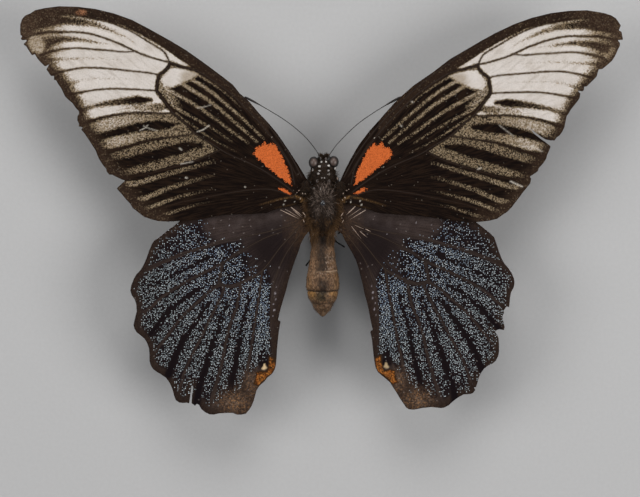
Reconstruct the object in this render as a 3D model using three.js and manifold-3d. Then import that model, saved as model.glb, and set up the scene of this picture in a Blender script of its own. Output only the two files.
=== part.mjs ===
// A large butterfly of the swallowtail kind, spread and dried on its insect pin. Millimetres, +Z up.
// The origin is where the pin goes into its board. +Y runs towards the head, and +X towards the
// butterfly's own right side. The wings lie nearly flat, each forewing over its hindwing's front edge.

import * as THREE from "three";
import { mergeVertices } from "three/addons/utils/BufferGeometryUtils.js";
import Module from "manifold-3d";

const wasm = await Module();
wasm.setup();

// Driving dimensions
const gap = 0.3;
const pinRadius = 0.26;
const pinBelowBoard = 8;
const pinShankTop = 29;
const pinPointLength = 1.6;
const pinHeadRadius = 0.58;
const pinHeadHeight = 1.0;
const wingThickness = 0.3;
const wingStations = 22;
const wingColumns = 7;
const foreRootLevel = 17.4;
const foreLift = 2.0;
const foreSpan = 66;
const hindRootLevel = 16.4;
const hindLift = 1.2;
const hindSpan = 42;
const thoraxHalf = [4.0, 5.9, 4.6];
const thoraxCentre = [0.05, -0.5, 15.6];
const collarHalf = [2.85, 1.7, 2.1];
const collarCentre = [0.15, 5.85, 15.7];
const headHalf = [2.3, 1.42, 1.7];
const headCentre = [0.2, 9.0, 15.1];
const eyeHalf = [1.15, 1.32, 1.25];
const eyeCentres = { eye_left: [-1.98, 9.35, 15.6], eye_right: [2.4, 9.5, 15.6] };
const palpHalf = [0.38, 0.34, 0.95];
const palpCentres = { palp_left: [-0.3, 10.78, 14.5], palp_right: [0.8, 10.8, 14.5] };
const tegulaHalf = [0.95, 1.7, 0.32];
const tegulaCentres = { tegula_left: [-3.75, 3.7, 18.3], tegula_right: [3.85, 3.6, 18.3] };
const abdomenFlattening = 0.88;
const abdomenLevel = 14.9;
const legRadius = 0.22;
const antennaRadius = 0.13;
const clubHalf = [0.24, 2.0, 0.24];
const proboscisRadius = 0.09;
const proboscisCentre = [0.25, 10.2, 12.6];
const proboscisTurns = 2;
const proboscisOuter = 0.85;
const proboscisInner = 0.3;

// Colours
const colours = {
  black: 0x221a16,
  wingBlack: 0x2b2019,
  wingSlate: 0x4a4644,
  fur: 0x4a3826,
  abdomen: 0x6b5443,
  eye: 0x8a7a76,
  steel: 0x3c3c40,
};

// Wing outlines, from the root outwards, along the front edge and along the rear edge
const leftForeFront = [
  [-3.0, 4.8], [-6.1, 9.8], [-12, 18], [-19.8, 26.4], [-30, 33.9], [-38, 38.5],
  [-46, 42], [-53.8, 43.4], [-60.9, 43.1], [-65.3, 41.4], [-66.3, 38],
];
const leftForeRear = [
  [-4.5, 0.9], [-7, -0.3], [-12.4, -1.9], [-20, -2.3], [-30, -3.6], [-36, -3.7], [-40.3, -1.9],
  [-44.6, 2.6], [-46.8, 6.6], [-51.3, 14], [-53.9, 19], [-56.6, 23.7], [-60.6, 29.6], [-65, 34.8],
];
const rightForeFront = [
  [3.2, 4.7], [6.2, 10.1], [12.1, 18.2], [20, 26.2], [28, 32], [38, 37.7],
  [46, 41], [54, 42.5], [60, 42.3], [64.3, 40.8], [65.8, 37.2],
];
const rightForeRear = [
  [4.5, 0.9], [8, -0.6], [12, -1.8], [20, -2.4], [28, -3.5], [36, -3.7], [40.6, -1.6],
  [45, 3.6], [47.2, 7.2], [50.3, 13], [53.3, 18], [56.4, 23.5], [60.4, 29.2], [65, 34.4],
];
const leftHindFront = [
  [-4.6, 0.7], [-12, 1.8], [-20, 1.8], [-28, -1.2], [-36.4, -7.5], [-39.2, -12.7], [-42.3, -18.5],
  [-41, -23.5], [-41.5, -27.4], [-38.3, -31.8], [-37.4, -36.3], [-33.7, -39.4], [-31.6, -43.7],
  [-27.8, -44.2], [-24, -46.3],
];
const leftHindRear = [
  [-3.7, -5.9], [-5.2, -10], [-7.1, -15.3], [-8.7, -21], [-9.6, -27], [-10.2, -34],
  [-11.7, -37.8], [-14.1, -40.2], [-15.7, -44.5], [-18.4, -46.4],
];
const rightHindFront = [
  [4.6, 0.7], [12, 1.8], [20, 1.8], [28, -1.2], [35.8, -5.5], [38.9, -10.5], [42.3, -17.4],
  [41.1, -22.4], [39.9, -27.3], [38.8, -32], [37.4, -35.1], [34.4, -38.2], [33, -41.5],
  [29.4, -42.9], [25.6, -44.9],
];
const rightHindRear = [
  [3.9, -5.6], [6.3, -10.3], [7.9, -14], [9.3, -20], [10.6, -27], [11.4, -34.6],
  [12.1, -36.9], [14.9, -39.3], [17.4, -43.4], [20.1, -45.3],
];

// Half-widths of the abdomen against the distance behind the thorax's centre
const abdomenProfile = [
  [0, 6.9], [1.7, 6.95], [2.45, 7.6], [2.55, 9], [2.8, 11], [3.05, 13], [3.45, 15],
  [3.65, 17], [3.55, 19.2], [2.95, 21], [2.0, 23], [1.05, 24.2], [0, 24.9],
];

// Each leg's hip, knee, ankle and claw. The hind feet reach out from under the abdomen on both sides.
const foreLegRoute = [[1.3, 3.4, 11.8], [3.4, 5.4, 10.9], [1.5, 8.2, 10.2], [0.9, 10.8, 9.6]];
const midLegRoute = [[1.5, 0.3, 10.7], [4.6, 1.2, 10.0], [5.2, -3.0, 8.8], [3.6, -6.4, 8.3]];
const hindLegRightRoute = [[1.4, -3.0, 11.1], [3.0, -4.4, 10.3], [2.4, -7.4, 9.8], [4.95, -9.4, 9.4]];
const hindLegLeftRoute = [[-1.4, -3.0, 11.1], [-3.0, -4.8, 10.3], [-1.9, -10.4, 9.8], [-3.75, -13.6, 9.4]];

// Each antenna from between the eyes to its club, which ends under the forewing's front edge
const antennaLeftRoute = [
  [-0.45, 9.9, 16.6], [-1.4, 11.9, 17.0], [-4, 15.05, 17.1],
  [-8, 18.4, 16.9], [-13, 21.5, 16.8], [-17.2, 23.8, 16.8],
];
const antennaRightRoute = [
  [0.95, 9.9, 16.6], [1.9, 11.6, 17.0], [3.9, 14.1, 17.1],
  [8, 18, 16.9], [13, 21.4, 16.8], [17.2, 23.8, 16.8],
];

const object = new THREE.Group();

function addMesh(name, geometry, colour, roughness, metalness) {
  const material = new THREE.MeshStandardMaterial({ color: colour, roughness, metalness });
  const mesh = new THREE.Mesh(geometry, material);
  mesh.name = name;
  object.add(mesh);
  return mesh;
}

function mirrorX(points) {
  return points.map(([x, ...rest]) => [-x, ...rest]);
}

// A closed solid as a manifold, for cutting and joining
function toSolid(geometry) {
  const bare = geometry.clone();
  bare.deleteAttribute("normal");
  bare.deleteAttribute("uv");
  const merged = mergeVertices(bare, 1e-5);
  return new wasm.Manifold(new wasm.Mesh({
    numProp: 3,
    vertProperties: new Float32Array(merged.attributes.position.array),
    triVerts: new Uint32Array(merged.index.array),
  }));
}

function toGeometry(solid) {
  const mesh = solid.getMesh();
  const geometry = new THREE.BufferGeometry();
  geometry.setAttribute("position", new THREE.BufferAttribute(new Float32Array(mesh.vertProperties), 3));
  geometry.setIndex(new THREE.BufferAttribute(new Uint32Array(mesh.triVerts), 1));
  geometry.computeVertexNormals();
  return geometry;
}

function ellipsoid(half, centre, around = 20, down = 14) {
  const geometry = new THREE.SphereGeometry(1, around, down);
  geometry.rotateX(Math.PI / 2);
  geometry.scale(...half);
  geometry.translate(...centre);
  return geometry;
}

// A profile of [radius, height] pairs turned about the Z axis
function turned(profile, sides) {
  const points = profile.map(([radius, height]) => new THREE.Vector2(radius, height));
  const geometry = new THREE.LatheGeometry(points, sides);
  geometry.rotateX(Math.PI / 2);
  return geometry;
}

function routeCurve(route) {
  return new THREE.CatmullRomCurve3(route.map((point) => new THREE.Vector3(...point)), false, "centripetal");
}

function tube(curve, radius, steps, sides = 6) {
  const section = new THREE.Shape();
  for (let side = 0; side < sides; side += 1) {
    const angle = (side / sides) * 2 * Math.PI;
    const x = radius * Math.cos(angle);
    const y = radius * Math.sin(angle);
    if (side === 0) {
      section.moveTo(x, y);
    } else {
      section.lineTo(x, y);
    }
  }
  section.closePath();
  return new THREE.ExtrudeGeometry(section, { steps, bevelEnabled: false, extrudePath: curve });
}

// A wing blade: stations run from the root to the tip, and each station is a straight row of points
// from the front edge to the rear edge, once for the upper face and once for the lower face.
function wingBlade(front, rear, level) {
  const frontCurve = routeCurve(front.map(([x, y]) => [x, y, 0]));
  const rearCurve = routeCurve(rear.map(([x, y]) => [x, y, 0]));
  const rowLength = wingColumns + 1;
  const faceLength = (wingStations + 1) * rowLength;
  const positions = [];
  for (const side of [0.5, -0.5]) {
    for (let station = 0; station <= wingStations; station += 1) {
      const a = frontCurve.getPointAt(station / wingStations);
      const b = rearCurve.getPointAt(station / wingStations);
      for (let column = 0; column <= wingColumns; column += 1) {
        const point = a.clone().lerp(b, column / wingColumns);
        positions.push(point.x, point.y, level(point.x) + side * wingThickness);
      }
    }
  }
  const index = [];
  const quad = (a, b, c, d) => index.push(a, b, c, a, c, d);
  const at = (station, column, face) => face * faceLength + station * rowLength + column;
  for (let station = 0; station < wingStations; station += 1) {
    for (let column = 0; column < wingColumns; column += 1) {
      quad(at(station, column, 0), at(station + 1, column, 0),
        at(station + 1, column + 1, 0), at(station, column + 1, 0));
      quad(at(station, column, 1), at(station, column + 1, 1),
        at(station + 1, column + 1, 1), at(station + 1, column, 1));
    }
    quad(at(station, 0, 0), at(station, 0, 1), at(station + 1, 0, 1), at(station + 1, 0, 0));
    quad(at(station, wingColumns, 1), at(station, wingColumns, 0),
      at(station + 1, wingColumns, 0), at(station + 1, wingColumns, 1));
  }
  for (let column = 0; column < wingColumns; column += 1) {
    quad(at(0, column, 1), at(0, column, 0), at(0, column + 1, 0), at(0, column + 1, 1));
    quad(at(wingStations, column, 0), at(wingStations, column, 1),
      at(wingStations, column + 1, 1), at(wingStations, column + 1, 0));
  }
  if (front[0][0] > 0) {
    for (let corner = 0; corner < index.length; corner += 3) {
      [index[corner], index[corner + 1]] = [index[corner + 1], index[corner]];
    }
  }
  const geometry = new THREE.BufferGeometry();
  geometry.setAttribute("position", new THREE.Float32BufferAttribute(positions, 3));
  geometry.setIndex(index);
  geometry.computeVertexNormals();
  return geometry;
}

function foreLevel(x) {
  return foreRootLevel + foreLift * (Math.abs(x) / foreSpan);
}

function hindLevel(x) {
  return hindRootLevel + hindLift * (Math.abs(x) / hindSpan);
}

function addWings() {
  const wings = [
    ["forewing_left", leftForeFront, leftForeRear, foreLevel, colours.wingBlack],
    ["forewing_right", rightForeFront, rightForeRear, foreLevel, colours.wingBlack],
    ["hindwing_left", leftHindFront, leftHindRear, hindLevel, colours.wingSlate],
    ["hindwing_right", rightHindFront, rightHindRear, hindLevel, colours.wingSlate],
  ];
  for (const [name, front, rear, level, colour] of wings) {
    addMesh(name, wingBlade(front, rear, level), colour, 0.85, 0);
  }
}

// The shank, from its point in the board to its flat top, and the small round head above it
function addPin() {
  const shankProfile = [
    [0, -pinBelowBoard],
    [pinRadius, pinPointLength - pinBelowBoard],
    [pinRadius, pinShankTop],
    [0, pinShankTop],
  ];
  addMesh("pin_shank", turned(shankProfile, 16), colours.steel, 0.3, 0.9);
  const headBase = pinShankTop + gap;
  const headProfile = [[0, headBase]];
  const arcSteps = 6;
  for (let step = 0; step <= arcSteps; step += 1) {
    const angle = (step / arcSteps) * 0.5 * Math.PI;
    const rise = pinHeadHeight * Math.sin(angle);
    const radius = step === arcSteps ? 0 : pinHeadRadius * Math.cos(angle);
    headProfile.push([radius, headBase + rise]);
  }
  addMesh("pin_head", turned(headProfile, 20), colours.steel, 0.3, 0.9);
}

// The thorax with its collar in one piece, bored for the pin
function addThorax() {
  const boreRadius = pinRadius + gap;
  const boreReach = 12;
  const boreProfile = [
    [0, thoraxCentre[2] - boreReach],
    [boreRadius, thoraxCentre[2] - boreReach],
    [boreRadius, thoraxCentre[2] + boreReach],
    [0, thoraxCentre[2] + boreReach],
  ];
  const thorax = toSolid(ellipsoid(thoraxHalf, thoraxCentre, 24, 16))
    .add(toSolid(ellipsoid(collarHalf, collarCentre, 18, 12)))
    .subtract(toSolid(turned(boreProfile, 16)));
  addMesh("thorax", toGeometry(thorax), colours.fur, 0.95, 0);
}

// The head, hollowed on each side where an eye sits
function addHead() {
  const socketHalf = eyeHalf.map((radius) => radius + gap);
  let head = toSolid(ellipsoid(headHalf, headCentre, 18, 14));
  for (const [name, centre] of Object.entries(eyeCentres)) {
    head = head.subtract(toSolid(ellipsoid(socketHalf, centre, 16, 12)));
    addMesh(name, ellipsoid(eyeHalf, centre, 16, 12), colours.eye, 0.25, 0);
  }
  addMesh("head", toGeometry(head), colours.fur, 0.95, 0);
}

function addPalps() {
  for (const [name, centre] of Object.entries(palpCentres)) {
    addMesh(name, ellipsoid(palpHalf, centre, 10, 8), colours.black, 0.95, 0);
  }
}

// The drinking tube, rolled up like a watch spring under the head
function addProboscis() {
  const [x, y, z] = proboscisCentre;
  const pointsPerTurn = 10;
  const route = [];
  for (let point = 0; point <= proboscisTurns * pointsPerTurn; point += 1) {
    const part = point / (proboscisTurns * pointsPerTurn);
    const angle = part * proboscisTurns * 2 * Math.PI;
    const radius = proboscisOuter + (proboscisInner - proboscisOuter) * part;
    route.push([x, y + radius * Math.sin(angle), z + radius * Math.cos(angle)]);
  }
  addMesh("proboscis", tube(routeCurve(route), proboscisRadius, 36), colours.black, 0.6, 0);
}

function addAntenna(name, route) {
  const curve = routeCurve(route);
  const along = curve.getTangentAt(1);
  const clubCentre = curve.getPointAt(1).addScaledVector(along, -clubHalf[1]);
  const turn = new THREE.Quaternion().setFromUnitVectors(new THREE.Vector3(0, 1, 0), along);
  const club = new THREE.SphereGeometry(1, 8, 8);
  club.scale(...clubHalf);
  club.applyQuaternion(turn);
  club.translate(clubCentre.x, clubCentre.y, clubCentre.z);
  const antenna = toSolid(tube(curve, antennaRadius, 20)).add(toSolid(club));
  addMesh(name, toGeometry(antenna), colours.black, 0.7, 0);
}

function addLegs() {
  const legs = [
    ["foreleg_left", mirrorX(foreLegRoute)],
    ["foreleg_right", foreLegRoute],
    ["midleg_left", mirrorX(midLegRoute)],
    ["midleg_right", midLegRoute],
    ["hindleg_left", hindLegLeftRoute],
    ["hindleg_right", hindLegRightRoute],
  ];
  for (const [name, route] of legs) {
    addMesh(name, tube(routeCurve(route), legRadius, 14), colours.black, 0.7, 0);
  }
}

// The small scale that covers each forewing's joint
function addTegulae() {
  for (const [name, centre] of Object.entries(tegulaCentres)) {
    addMesh(name, ellipsoid(tegulaHalf, centre, 10, 8), colours.fur, 0.95, 0);
  }
}

function addAbdomen() {
  const geometry = turned(abdomenProfile, 24);
  geometry.rotateX(Math.PI / 2);
  geometry.scale(1, 1, abdomenFlattening);
  geometry.translate(0, 0, abdomenLevel);
  addMesh("abdomen", geometry, colours.abdomen, 0.9, 0);
}

addPin();
addThorax();
addHead();
addPalps();
addProboscis();
addAntenna("antenna_left", antennaLeftRoute);
addAntenna("antenna_right", antennaRightRoute);
addTegulae();
addAbdomen();
addLegs();
addWings();

export default object;
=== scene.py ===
"""A large spread butterfly of the swallowtail kind on its insect pin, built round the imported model.

Lengths in the tables and shape functions are millimetres and become metres when a mesh is made.
Wing tables are written for one side, with u outwards from the pin and v towards the head.
"""

import collections
import functools
import math

import bpy
import numpy as np
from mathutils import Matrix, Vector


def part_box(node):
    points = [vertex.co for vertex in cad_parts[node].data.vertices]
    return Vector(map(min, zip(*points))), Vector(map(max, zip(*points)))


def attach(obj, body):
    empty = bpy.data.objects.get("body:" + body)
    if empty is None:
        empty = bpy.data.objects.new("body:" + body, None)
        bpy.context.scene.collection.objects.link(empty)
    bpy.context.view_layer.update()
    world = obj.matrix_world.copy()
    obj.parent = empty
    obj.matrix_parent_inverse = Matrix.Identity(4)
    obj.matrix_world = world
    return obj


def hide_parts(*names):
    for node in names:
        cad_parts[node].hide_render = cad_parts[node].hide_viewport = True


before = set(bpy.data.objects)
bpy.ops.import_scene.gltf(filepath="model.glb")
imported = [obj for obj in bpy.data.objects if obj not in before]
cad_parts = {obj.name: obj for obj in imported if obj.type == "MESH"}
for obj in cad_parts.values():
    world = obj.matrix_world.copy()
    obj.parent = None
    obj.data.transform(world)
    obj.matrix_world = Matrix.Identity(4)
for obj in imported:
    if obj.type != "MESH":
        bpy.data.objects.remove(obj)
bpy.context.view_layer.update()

bl_info = {
    "name": "Pinned Butterfly",
    "version": (1, 0, 0),
    "blender": (4, 5, 0),
    "location": "View3D > Sidebar > Specimen",
    "description": "Wings, veins, fur and pin of a spread butterfly specimen",
    "category": "Add Mesh",
}

MM = 0.001
LEFT = -1
RIGHT = 1
SEED = 7

# Thickness of a wing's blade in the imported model, in mm
CAD_BLADE = 0.3

# Mesh points in one hair; how far a tube's tip stands out, in radii; the drawn veins' radius against
# their table's; the black of a hindwing's fold against its groove; a flat plate's two half sizes
# against its table's
HAIR_POINTS = 10
TUBE_TIP = 0.4
VEIN_FINENESS = 0.72
FOLD_WIDENING = 1.2
PLATE_TRIM = (0.75, 0.7)

# Shares of the thorax's hairs in its base coat and its joint brushes, and of the head's hairs on the
# head and on each palp
BASE_SHARE, BRUSH_SHARE = 0.84, 0.14
HEAD_SHARE, PALP_SHARE = 0.7, 0.15

# Lamps over the specimen: name, place and disc width in metres, and power in watts
LAMPS = [
    ("soft_front", (0.02, 0.45, 0.56), 0.42, 1.88),
    ("soft_left", (-0.48, 0.05, 0.54), 0.4, 1.88),
    ("soft_right", (0.48, -0.12, 0.54), 0.4, 2.5),
]
LAMP_AIM = (0, -0.01, 0.015)

# Where the camera hangs over the specimen, in mm, and its lens
VIEW_CENTRE = (-0.6, -9.7)
VIEW_HEIGHT = 409.5
VIEW_LENS = 100
SENSOR_WIDTH = 36

# The right wings are the left ones mirrored and then turned about their joint, by these degrees
FORE_JOINT = (4.0, 3.0)
HIND_JOINT = (4.5, -3.0)
FORE_TURN = -1.0
HIND_TURN = 2.0

# Wing edges, from the front of the joint out round the tip and back to the joint's rear
FORE_EDGE_LEFT = [
    (2.6, 4.4), (3.4, 5.4), (5.0, 8.1), (6.1, 9.8), (8, 12.7), (10, 15.6), (12, 18), (14.1, 20.2),
    (16.4, 22.9), (18.3, 24.5), (19.8, 26.4), (22, 28.1), (26.3, 31.3), (30, 33.9), (33.5, 36),
    (38, 38.5), (41.9, 40.55), (46, 42), (50, 42.95), (53.8, 43.4), (57.9, 43.5), (60.9, 43.1),
    (63.1, 42.6), (64.1, 41.9), (65.3, 41.4), (66, 40.6), (66.35, 39.4), (66.4, 38.1),
    (66.3, 37.1), (65.9, 36.9), (66.3, 36.3), (65.9, 36.0), (65.0, 36.1), (65.0, 35.8),
    (65.7, 35.1), (65, 34.6), (64.5, 33.7), (63.8, 32.7), (63.2, 32.95), (62.7, 32.1),
    (62.05, 31.3), (60.9, 30.2), (59.9, 30.9), (60.65, 29.6), (59.6, 28.1), (59.0, 28.2),
    (59, 27.3), (58.5, 27.2), (58.05, 26.3), (57.5, 25.6), (57.1, 24.8), (56.6, 23.7),
    (55.8, 22.9), (54.95, 22.2), (54.3, 21.2), (53.6, 20.5), (53.5, 19.9), (53.85, 19.4),
    (53.9, 18.4), (53.5, 17.7), (53.6, 17.1), (52.7, 16.9), (53.05, 16.4), (52.3, 15.5),
    (51.3, 14), (49.95, 11.9), (49.2, 10), (48.3, 8.6), (47.6, 7.8), (47.5, 7.2), (46.9, 6.5),
    (46.3, 6.5), (45.2, 5.95), (44.05, 5.4), (43.4, 5.25), (43.95, 4.8), (45.3, 3.5),
    (44.4, 2.5), (43.3, 1.15), (42.3, 0.1), (41.8, -0.8), (40.3, -1.95), (39.15, -2.8),
    (37.65, -3.3), (36, -3.7), (34, -3.8), (30, -3.6), (26, -3.1), (22, -2.3), (16, -2.1),
    (12.4, -1.9), (10, -0.93), (7, -0.3), (5.9, 0.15), (4.8, 0.4), (3.6, 1.0),
]
FORE_EDGE_RIGHT = [
    (2.8, 4.3), (3.7, 5), (5.1, 8), (6.2, 10.1), (8, 13.2), (10.2, 16.1), (12.1, 18.2),
    (14.1, 20.5), (16.2, 22.8), (17.6, 24.1), (20, 26.2), (24.1, 29), (28, 32), (32, 34.3),
    (34.9, 36), (38, 37.7), (42, 39.6), (46, 41), (50, 42), (54, 42.5), (58, 42.6), (60, 42.3),
    (62, 41.9), (63.4, 41.4), (64.3, 40.8), (64.9, 40), (65.4, 39.2), (65.0, 38.2), (65.6, 37.8),
    (65.7, 37.1), (65.9, 36.1), (64.7, 36), (65.2, 35.4), (65.2, 34.8), (64.8, 34), (64.1, 32.4),
    (63.5, 31.5), (62.5, 30.6), (61.4, 29.7), (60.6, 29.6), (60.4, 29), (60.1, 28), (59.3, 27.2),
    (58, 25.9), (57.4, 25.8), (57.4, 25.2), (57.1, 24.8), (56, 25), (56.6, 24.3), (56.4, 23.3),
    (56, 22.7), (55.3, 21.8), (54.5, 20.8), (54, 19.9), (53.6, 19.4), (53.3, 18), (53.1, 17),
    (52.6, 15.9), (52, 15.1), (51.4, 14.7), (50.8, 13.8), (50.6, 14.2), (50.3, 14), (49, 14.25),
    (48, 14.85), (46.5, 16.0), (45.2, 17), (46.5, 15.5), (48, 14.35), (49, 13.65), (50.1, 12.75),
    (49.7, 11.7), (49.3, 10.8), (49.1, 10), (48.6, 9.2), (48, 8.5), (47.5, 8), (47.3, 7.3),
    (46.7, 6.85), (45.5, 6.1), (45.8, 5.6), (45.6, 4.6), (45.1, 4), (43.9, 2.5), (43.1, 1.4),
    (42, 0), (41.6, -0.6), (40.6, -1.6), (39.4, -2.4), (38.3, -3.2), (36.6, -3.6), (34, -3.9),
    (32, -3.95), (28, -3.5), (24, -2.9), (20, -2.4), (16, -2.2), (12, -1.8), (10.5, -1.2),
    (8, -0.6), (6, 0.0), (4.8, 0.4), (3.6, 1.0),
]
HIND_EDGE_LEFT = [
    (3.2, 0.2), (5, 1.0), (12, 1.9), (20, 1.6), (27, -0.8), (31.7, -3.8), (32.9, -4.8),
    (34.2, -5.7), (35.5, -6.8), (36.4, -7.5), (37.2, -8), (37.7, -8.8), (38.2, -10),
    (38.7, -11.4), (39.2, -12.7), (39.7, -13.7), (40.3, -14.6), (41.1, -15.4), (41.7, -16.5),
    (42.2, -17.8), (42.4, -19), (42.1, -20), (41.4, -21), (41.1, -22), (41, -23.5), (41.2, -24.4),
    (41.5, -25.6), (41.7, -26.6), (41.5, -27.4), (41, -28.2), (40.2, -28.8), (39.3, -29.6),
    (38.7, -30.6), (38.3, -31.8), (38.2, -33), (38.2, -34.5), (37.9, -35.5), (37.4, -36.3),
    (36.6, -36.9), (35.6, -37.5), (34.6, -38.2), (33.7, -39.4), (33.2, -40.6), (32.8, -42.1),
    (32.4, -43.2), (31.6, -43.7), (30.9, -43.8), (30, -43.7), (29.45, -43.9), (28.95, -40),
    (28.65, -40), (28.95, -43.8), (28.2, -44.4), (27.8, -44), (27.3, -44.2), (26.8, -45.1),
    (26, -45.8), (25, -46.3), (24, -46.35), (22.9, -46.1), (21, -46), (19.9, -46), (18.9, -46.4),
    (18, -46.4), (17, -46.2), (16.3, -45.4), (15.7, -44.5), (15.2, -43.2), (14.6, -41),
    (14.1, -40.2), (13.5, -39.6), (12.8, -39), (12.2, -38.2), (11.7, -37.8), (11.1, -37.3),
    (10.6, -36.4), (10.35, -35.5), (10.2, -34), (10.1, -32), (9.9, -30), (9.7, -28), (9.3, -25.8),
    (9.9, -25.5), (9.3, -23), (8.7, -21), (8.1, -19), (7.6, -17), (7.1, -15.3), (6.5, -13.5),
    (5.8, -11.5), (5.2, -10), (4.9, -8.8), (3.9, -6.9), (3.0, -5.8),
]
HIND_EDGE_RIGHT = [
    (3.2, 0.2), (5, 1.0), (12, 1.9), (20, 1.6), (28, -1.0), (34, -4), (35, -4.8), (36, -5.6),
    (37, -6.4), (37.8, -7.2), (38.2, -8.3), (38.6, -9.5), (38.9, -10.5), (39.4, -11.8),
    (40, -12.9), (41, -14.1), (41.7, -15.2), (42.2, -16.4), (42.3, -17.4), (42.1, -18.3),
    (41.5, -19.4), (41.3, -20.5), (41.2, -21.8), (41.1, -22.6), (40.5, -22.5), (40, -23.2),
    (39.9, -24.1), (39.6, -24.6), (39.7, -25.4), (39.95, -26.3), (40.15, -27), (39.95, -27.7),
    (38.9, -27.5), (38, -27.9), (38.4, -28.5), (38.8, -29.5), (38.9, -31), (38.9, -32.4),
    (38.7, -33.4), (38.2, -34.4), (37.4, -35.1), (36.5, -35.5), (35.6, -36.2), (34.9, -37.2),
    (34.4, -38.2), (34.1, -39.4), (33.8, -40.3), (33.3, -40.3), (33.7, -40.9), (33.1, -41.6),
    (32.5, -41.8), (31.1, -41.9), (30.3, -42.3), (29.4, -42.9), (28.4, -43.7), (27.8, -44.3),
    (26.8, -44.8), (26, -44.9), (24, -44.7), (22.1, -44.9), (21.1, -45.1), (20.1, -45.3),
    (19, -45.2), (18.4, -44.8), (17.8, -43.9), (17.1, -42.9), (16.4, -41.7), (15.5, -40.3),
    (14.9, -39.3), (14.1, -38.6), (13, -37.7), (12.1, -36.9), (11.7, -36.1), (11.4, -34.6),
    (11.2, -32.9), (10.9, -30), (10.5, -28), (11.1, -27.6), (10.9, -27), (10.5, -25.1), (10.1, -23),
    (9.7, -21.3), (9.3, -20), (8.9, -18), (8.4, -16), (7.9, -14), (7.3, -12.2), (6.3, -10.3),
    (5, -8.1), (4.3, -6.6), (3.2, -5.4),
]

# Forewing veins: the line, the tube's radius and the dark halo's half-width, both at root and end
FORE_VEINS = [
    ("costa", [(4.6, 6.0), (7.2, 10.9), (11, 16.2), (15.3, 21), (20.3, 26), (27.8, 31.9), (36, 36.9)],
     (0.16, 0.1), (0.2, 0.2)),
    ("subcosta", [(5.6, 6.2), (9, 12), (13, 17.2), (18, 22.6), (24, 27.8), (30, 32.3), (37, 36.4)],
     (0.1, 0.06), (0.2, 0.2)),
    ("radius", [(6.2, 4.4), (7.1, 8.4), (9, 11.5), (10.8, 14), (14.3, 18.4), (17.2, 21.4),
                (19.8, 24), (22, 25.8), (26.3, 28.7), (28.5, 29.7), (30.5, 30.2), (33.7, 31.3)],
     (0.13, 0.13), (0.2, 0.42)),
    ("radius_three", [(33.7, 31.3), (34.5, 33), (35.6, 34.1), (38.6, 35.9), (41.9, 37.9),
                      (46, 39.7), (50, 40.7), (54, 41.6)], (0.12, 0.07), (0.24, 0.2)),
    ("radius_four", [(33.7, 31.3), (36, 31.8), (40, 33.1), (43, 34.5), (44.9, 35.4), (49, 36.9),
                     (53, 37.75), (58, 37.8), (61.2, 37.7), (65.4, 36.5)], (0.12, 0.07), (0.24, 0.3)),
    ("radius_five", [(41.5, 33.6), (43.9, 33.5), (47, 33.8), (50, 34), (54, 34.3), (58, 33.9),
                     (61.9, 32.8)], (0.1, 0.07), (0.2, 0.26)),
    ("cell_end", [(33.7, 31.3), (33.9, 30.4), (35, 29.2), (36, 28.4), (36.4, 26.6), (36.5, 25),
                  (35.9, 24.1), (34.4, 22.1), (33, 20.2)], (0.13, 0.12), (0.4, 0.5)),
    ("media_one", [(36, 28.4), (38, 28.9), (42, 29.3), (46, 29.7), (50, 30), (54, 29.8),
                   (59.4, 28.6)], (0.11, 0.07), (0.2, 0.27)),
    ("media_two", [(36.5, 25), (40, 25.2), (46, 25.4), (50, 25.1), (54, 24.4), (56.8, 23.7)],
     (0.11, 0.07), (0.22, 0.27)),
    ("media_three", [(33, 20.2), (35, 20), (40, 20.2), (44, 19.9), (48, 19.2), (51.5, 18.2),
                     (53.4, 17.8)], (0.11, 0.07), (0.2, 0.46)),
    ("cubitus", [(6.5, 2.7), (8, 4), (12, 6.8), (16, 9), (21, 11.2), (24, 13.1), (28, 15.6),
                 (30, 17.6), (33, 20.2)], (0.14, 0.12), (0.2, 0.3)),
    ("cubitus_one", [(28.1, 15.6), (30, 15.2), (34, 14.7), (38, 14.1), (42, 13), (46, 11.9),
                     (49.6, 11.1)], (0.11, 0.07), (0.1, 0.62)),
    ("cubitus_two", [(22.5, 12), (26.6, 10.1), (31, 8.7), (34, 7.9), (38, 6.8), (42, 6.05),
                     (45, 5.5)], (0.11, 0.07), (0.2, 0.6)),
    ("anal", [(6, 1.5), (10, 3.0), (13.5, 3.4), (19, 2.8), (24, 1.9), (30, 0.75), (34, -0.35),
              (38, -1.8), (40, -2.1)], (0.13, 0.07), (0.2, 0.3)),
]

# Dark streaks between the veins on the pale field: line, then half-width and darkness at its ends
FORE_FOLDS = [
    ([(41.6, 35.7), (43.9, 37), (46, 38), (50, 39.4), (54, 40), (58, 40.3), (65, 39.4)],
     (0.25, 1.35), (0.55, 1.0)),
    ([(47.0, 35.2), (50, 35.6), (52, 36), (55, 36.3), (58, 36.1), (62, 35)], (0.2, 1.0), (0.6, 1.0)),
    ([(39, 31.2), (42, 31.4), (46, 31.8), (50, 32.1), (58, 31.8), (61, 31.7)], (0.16, 0.36), (0.2, 0.75)),
    ([(38, 27.4), (46, 27.7), (52, 27.4), (56, 26.4)], (0.2, 0.3), (0.3, 0.55)),
    ([(37.8, 22.95), (40, 22.95), (42, 22.8), (46, 22.35), (50, 21.6), (53.5, 20.5)],
     (1.2, 0.35), (1.0, 0.75)),
    ([(34, 21.4), (38, 21.3), (42, 21.1), (46, 20.6)], (1.2, 0.3), (0.85, 0.35)),
    ([(32.9, 17.5), (36, 17.4), (40, 17), (44, 16.2), (48, 15.1), (50.5, 14.3)], (1.15, 0.8), (1.0, 0.9)),
    ([(27.0, 13.1), (30, 12.7), (34, 11.6), (38, 10.5), (44, 8.8), (48.5, 7.9)], (1.1, 1.2), (1.0, 1.0)),
]

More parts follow.
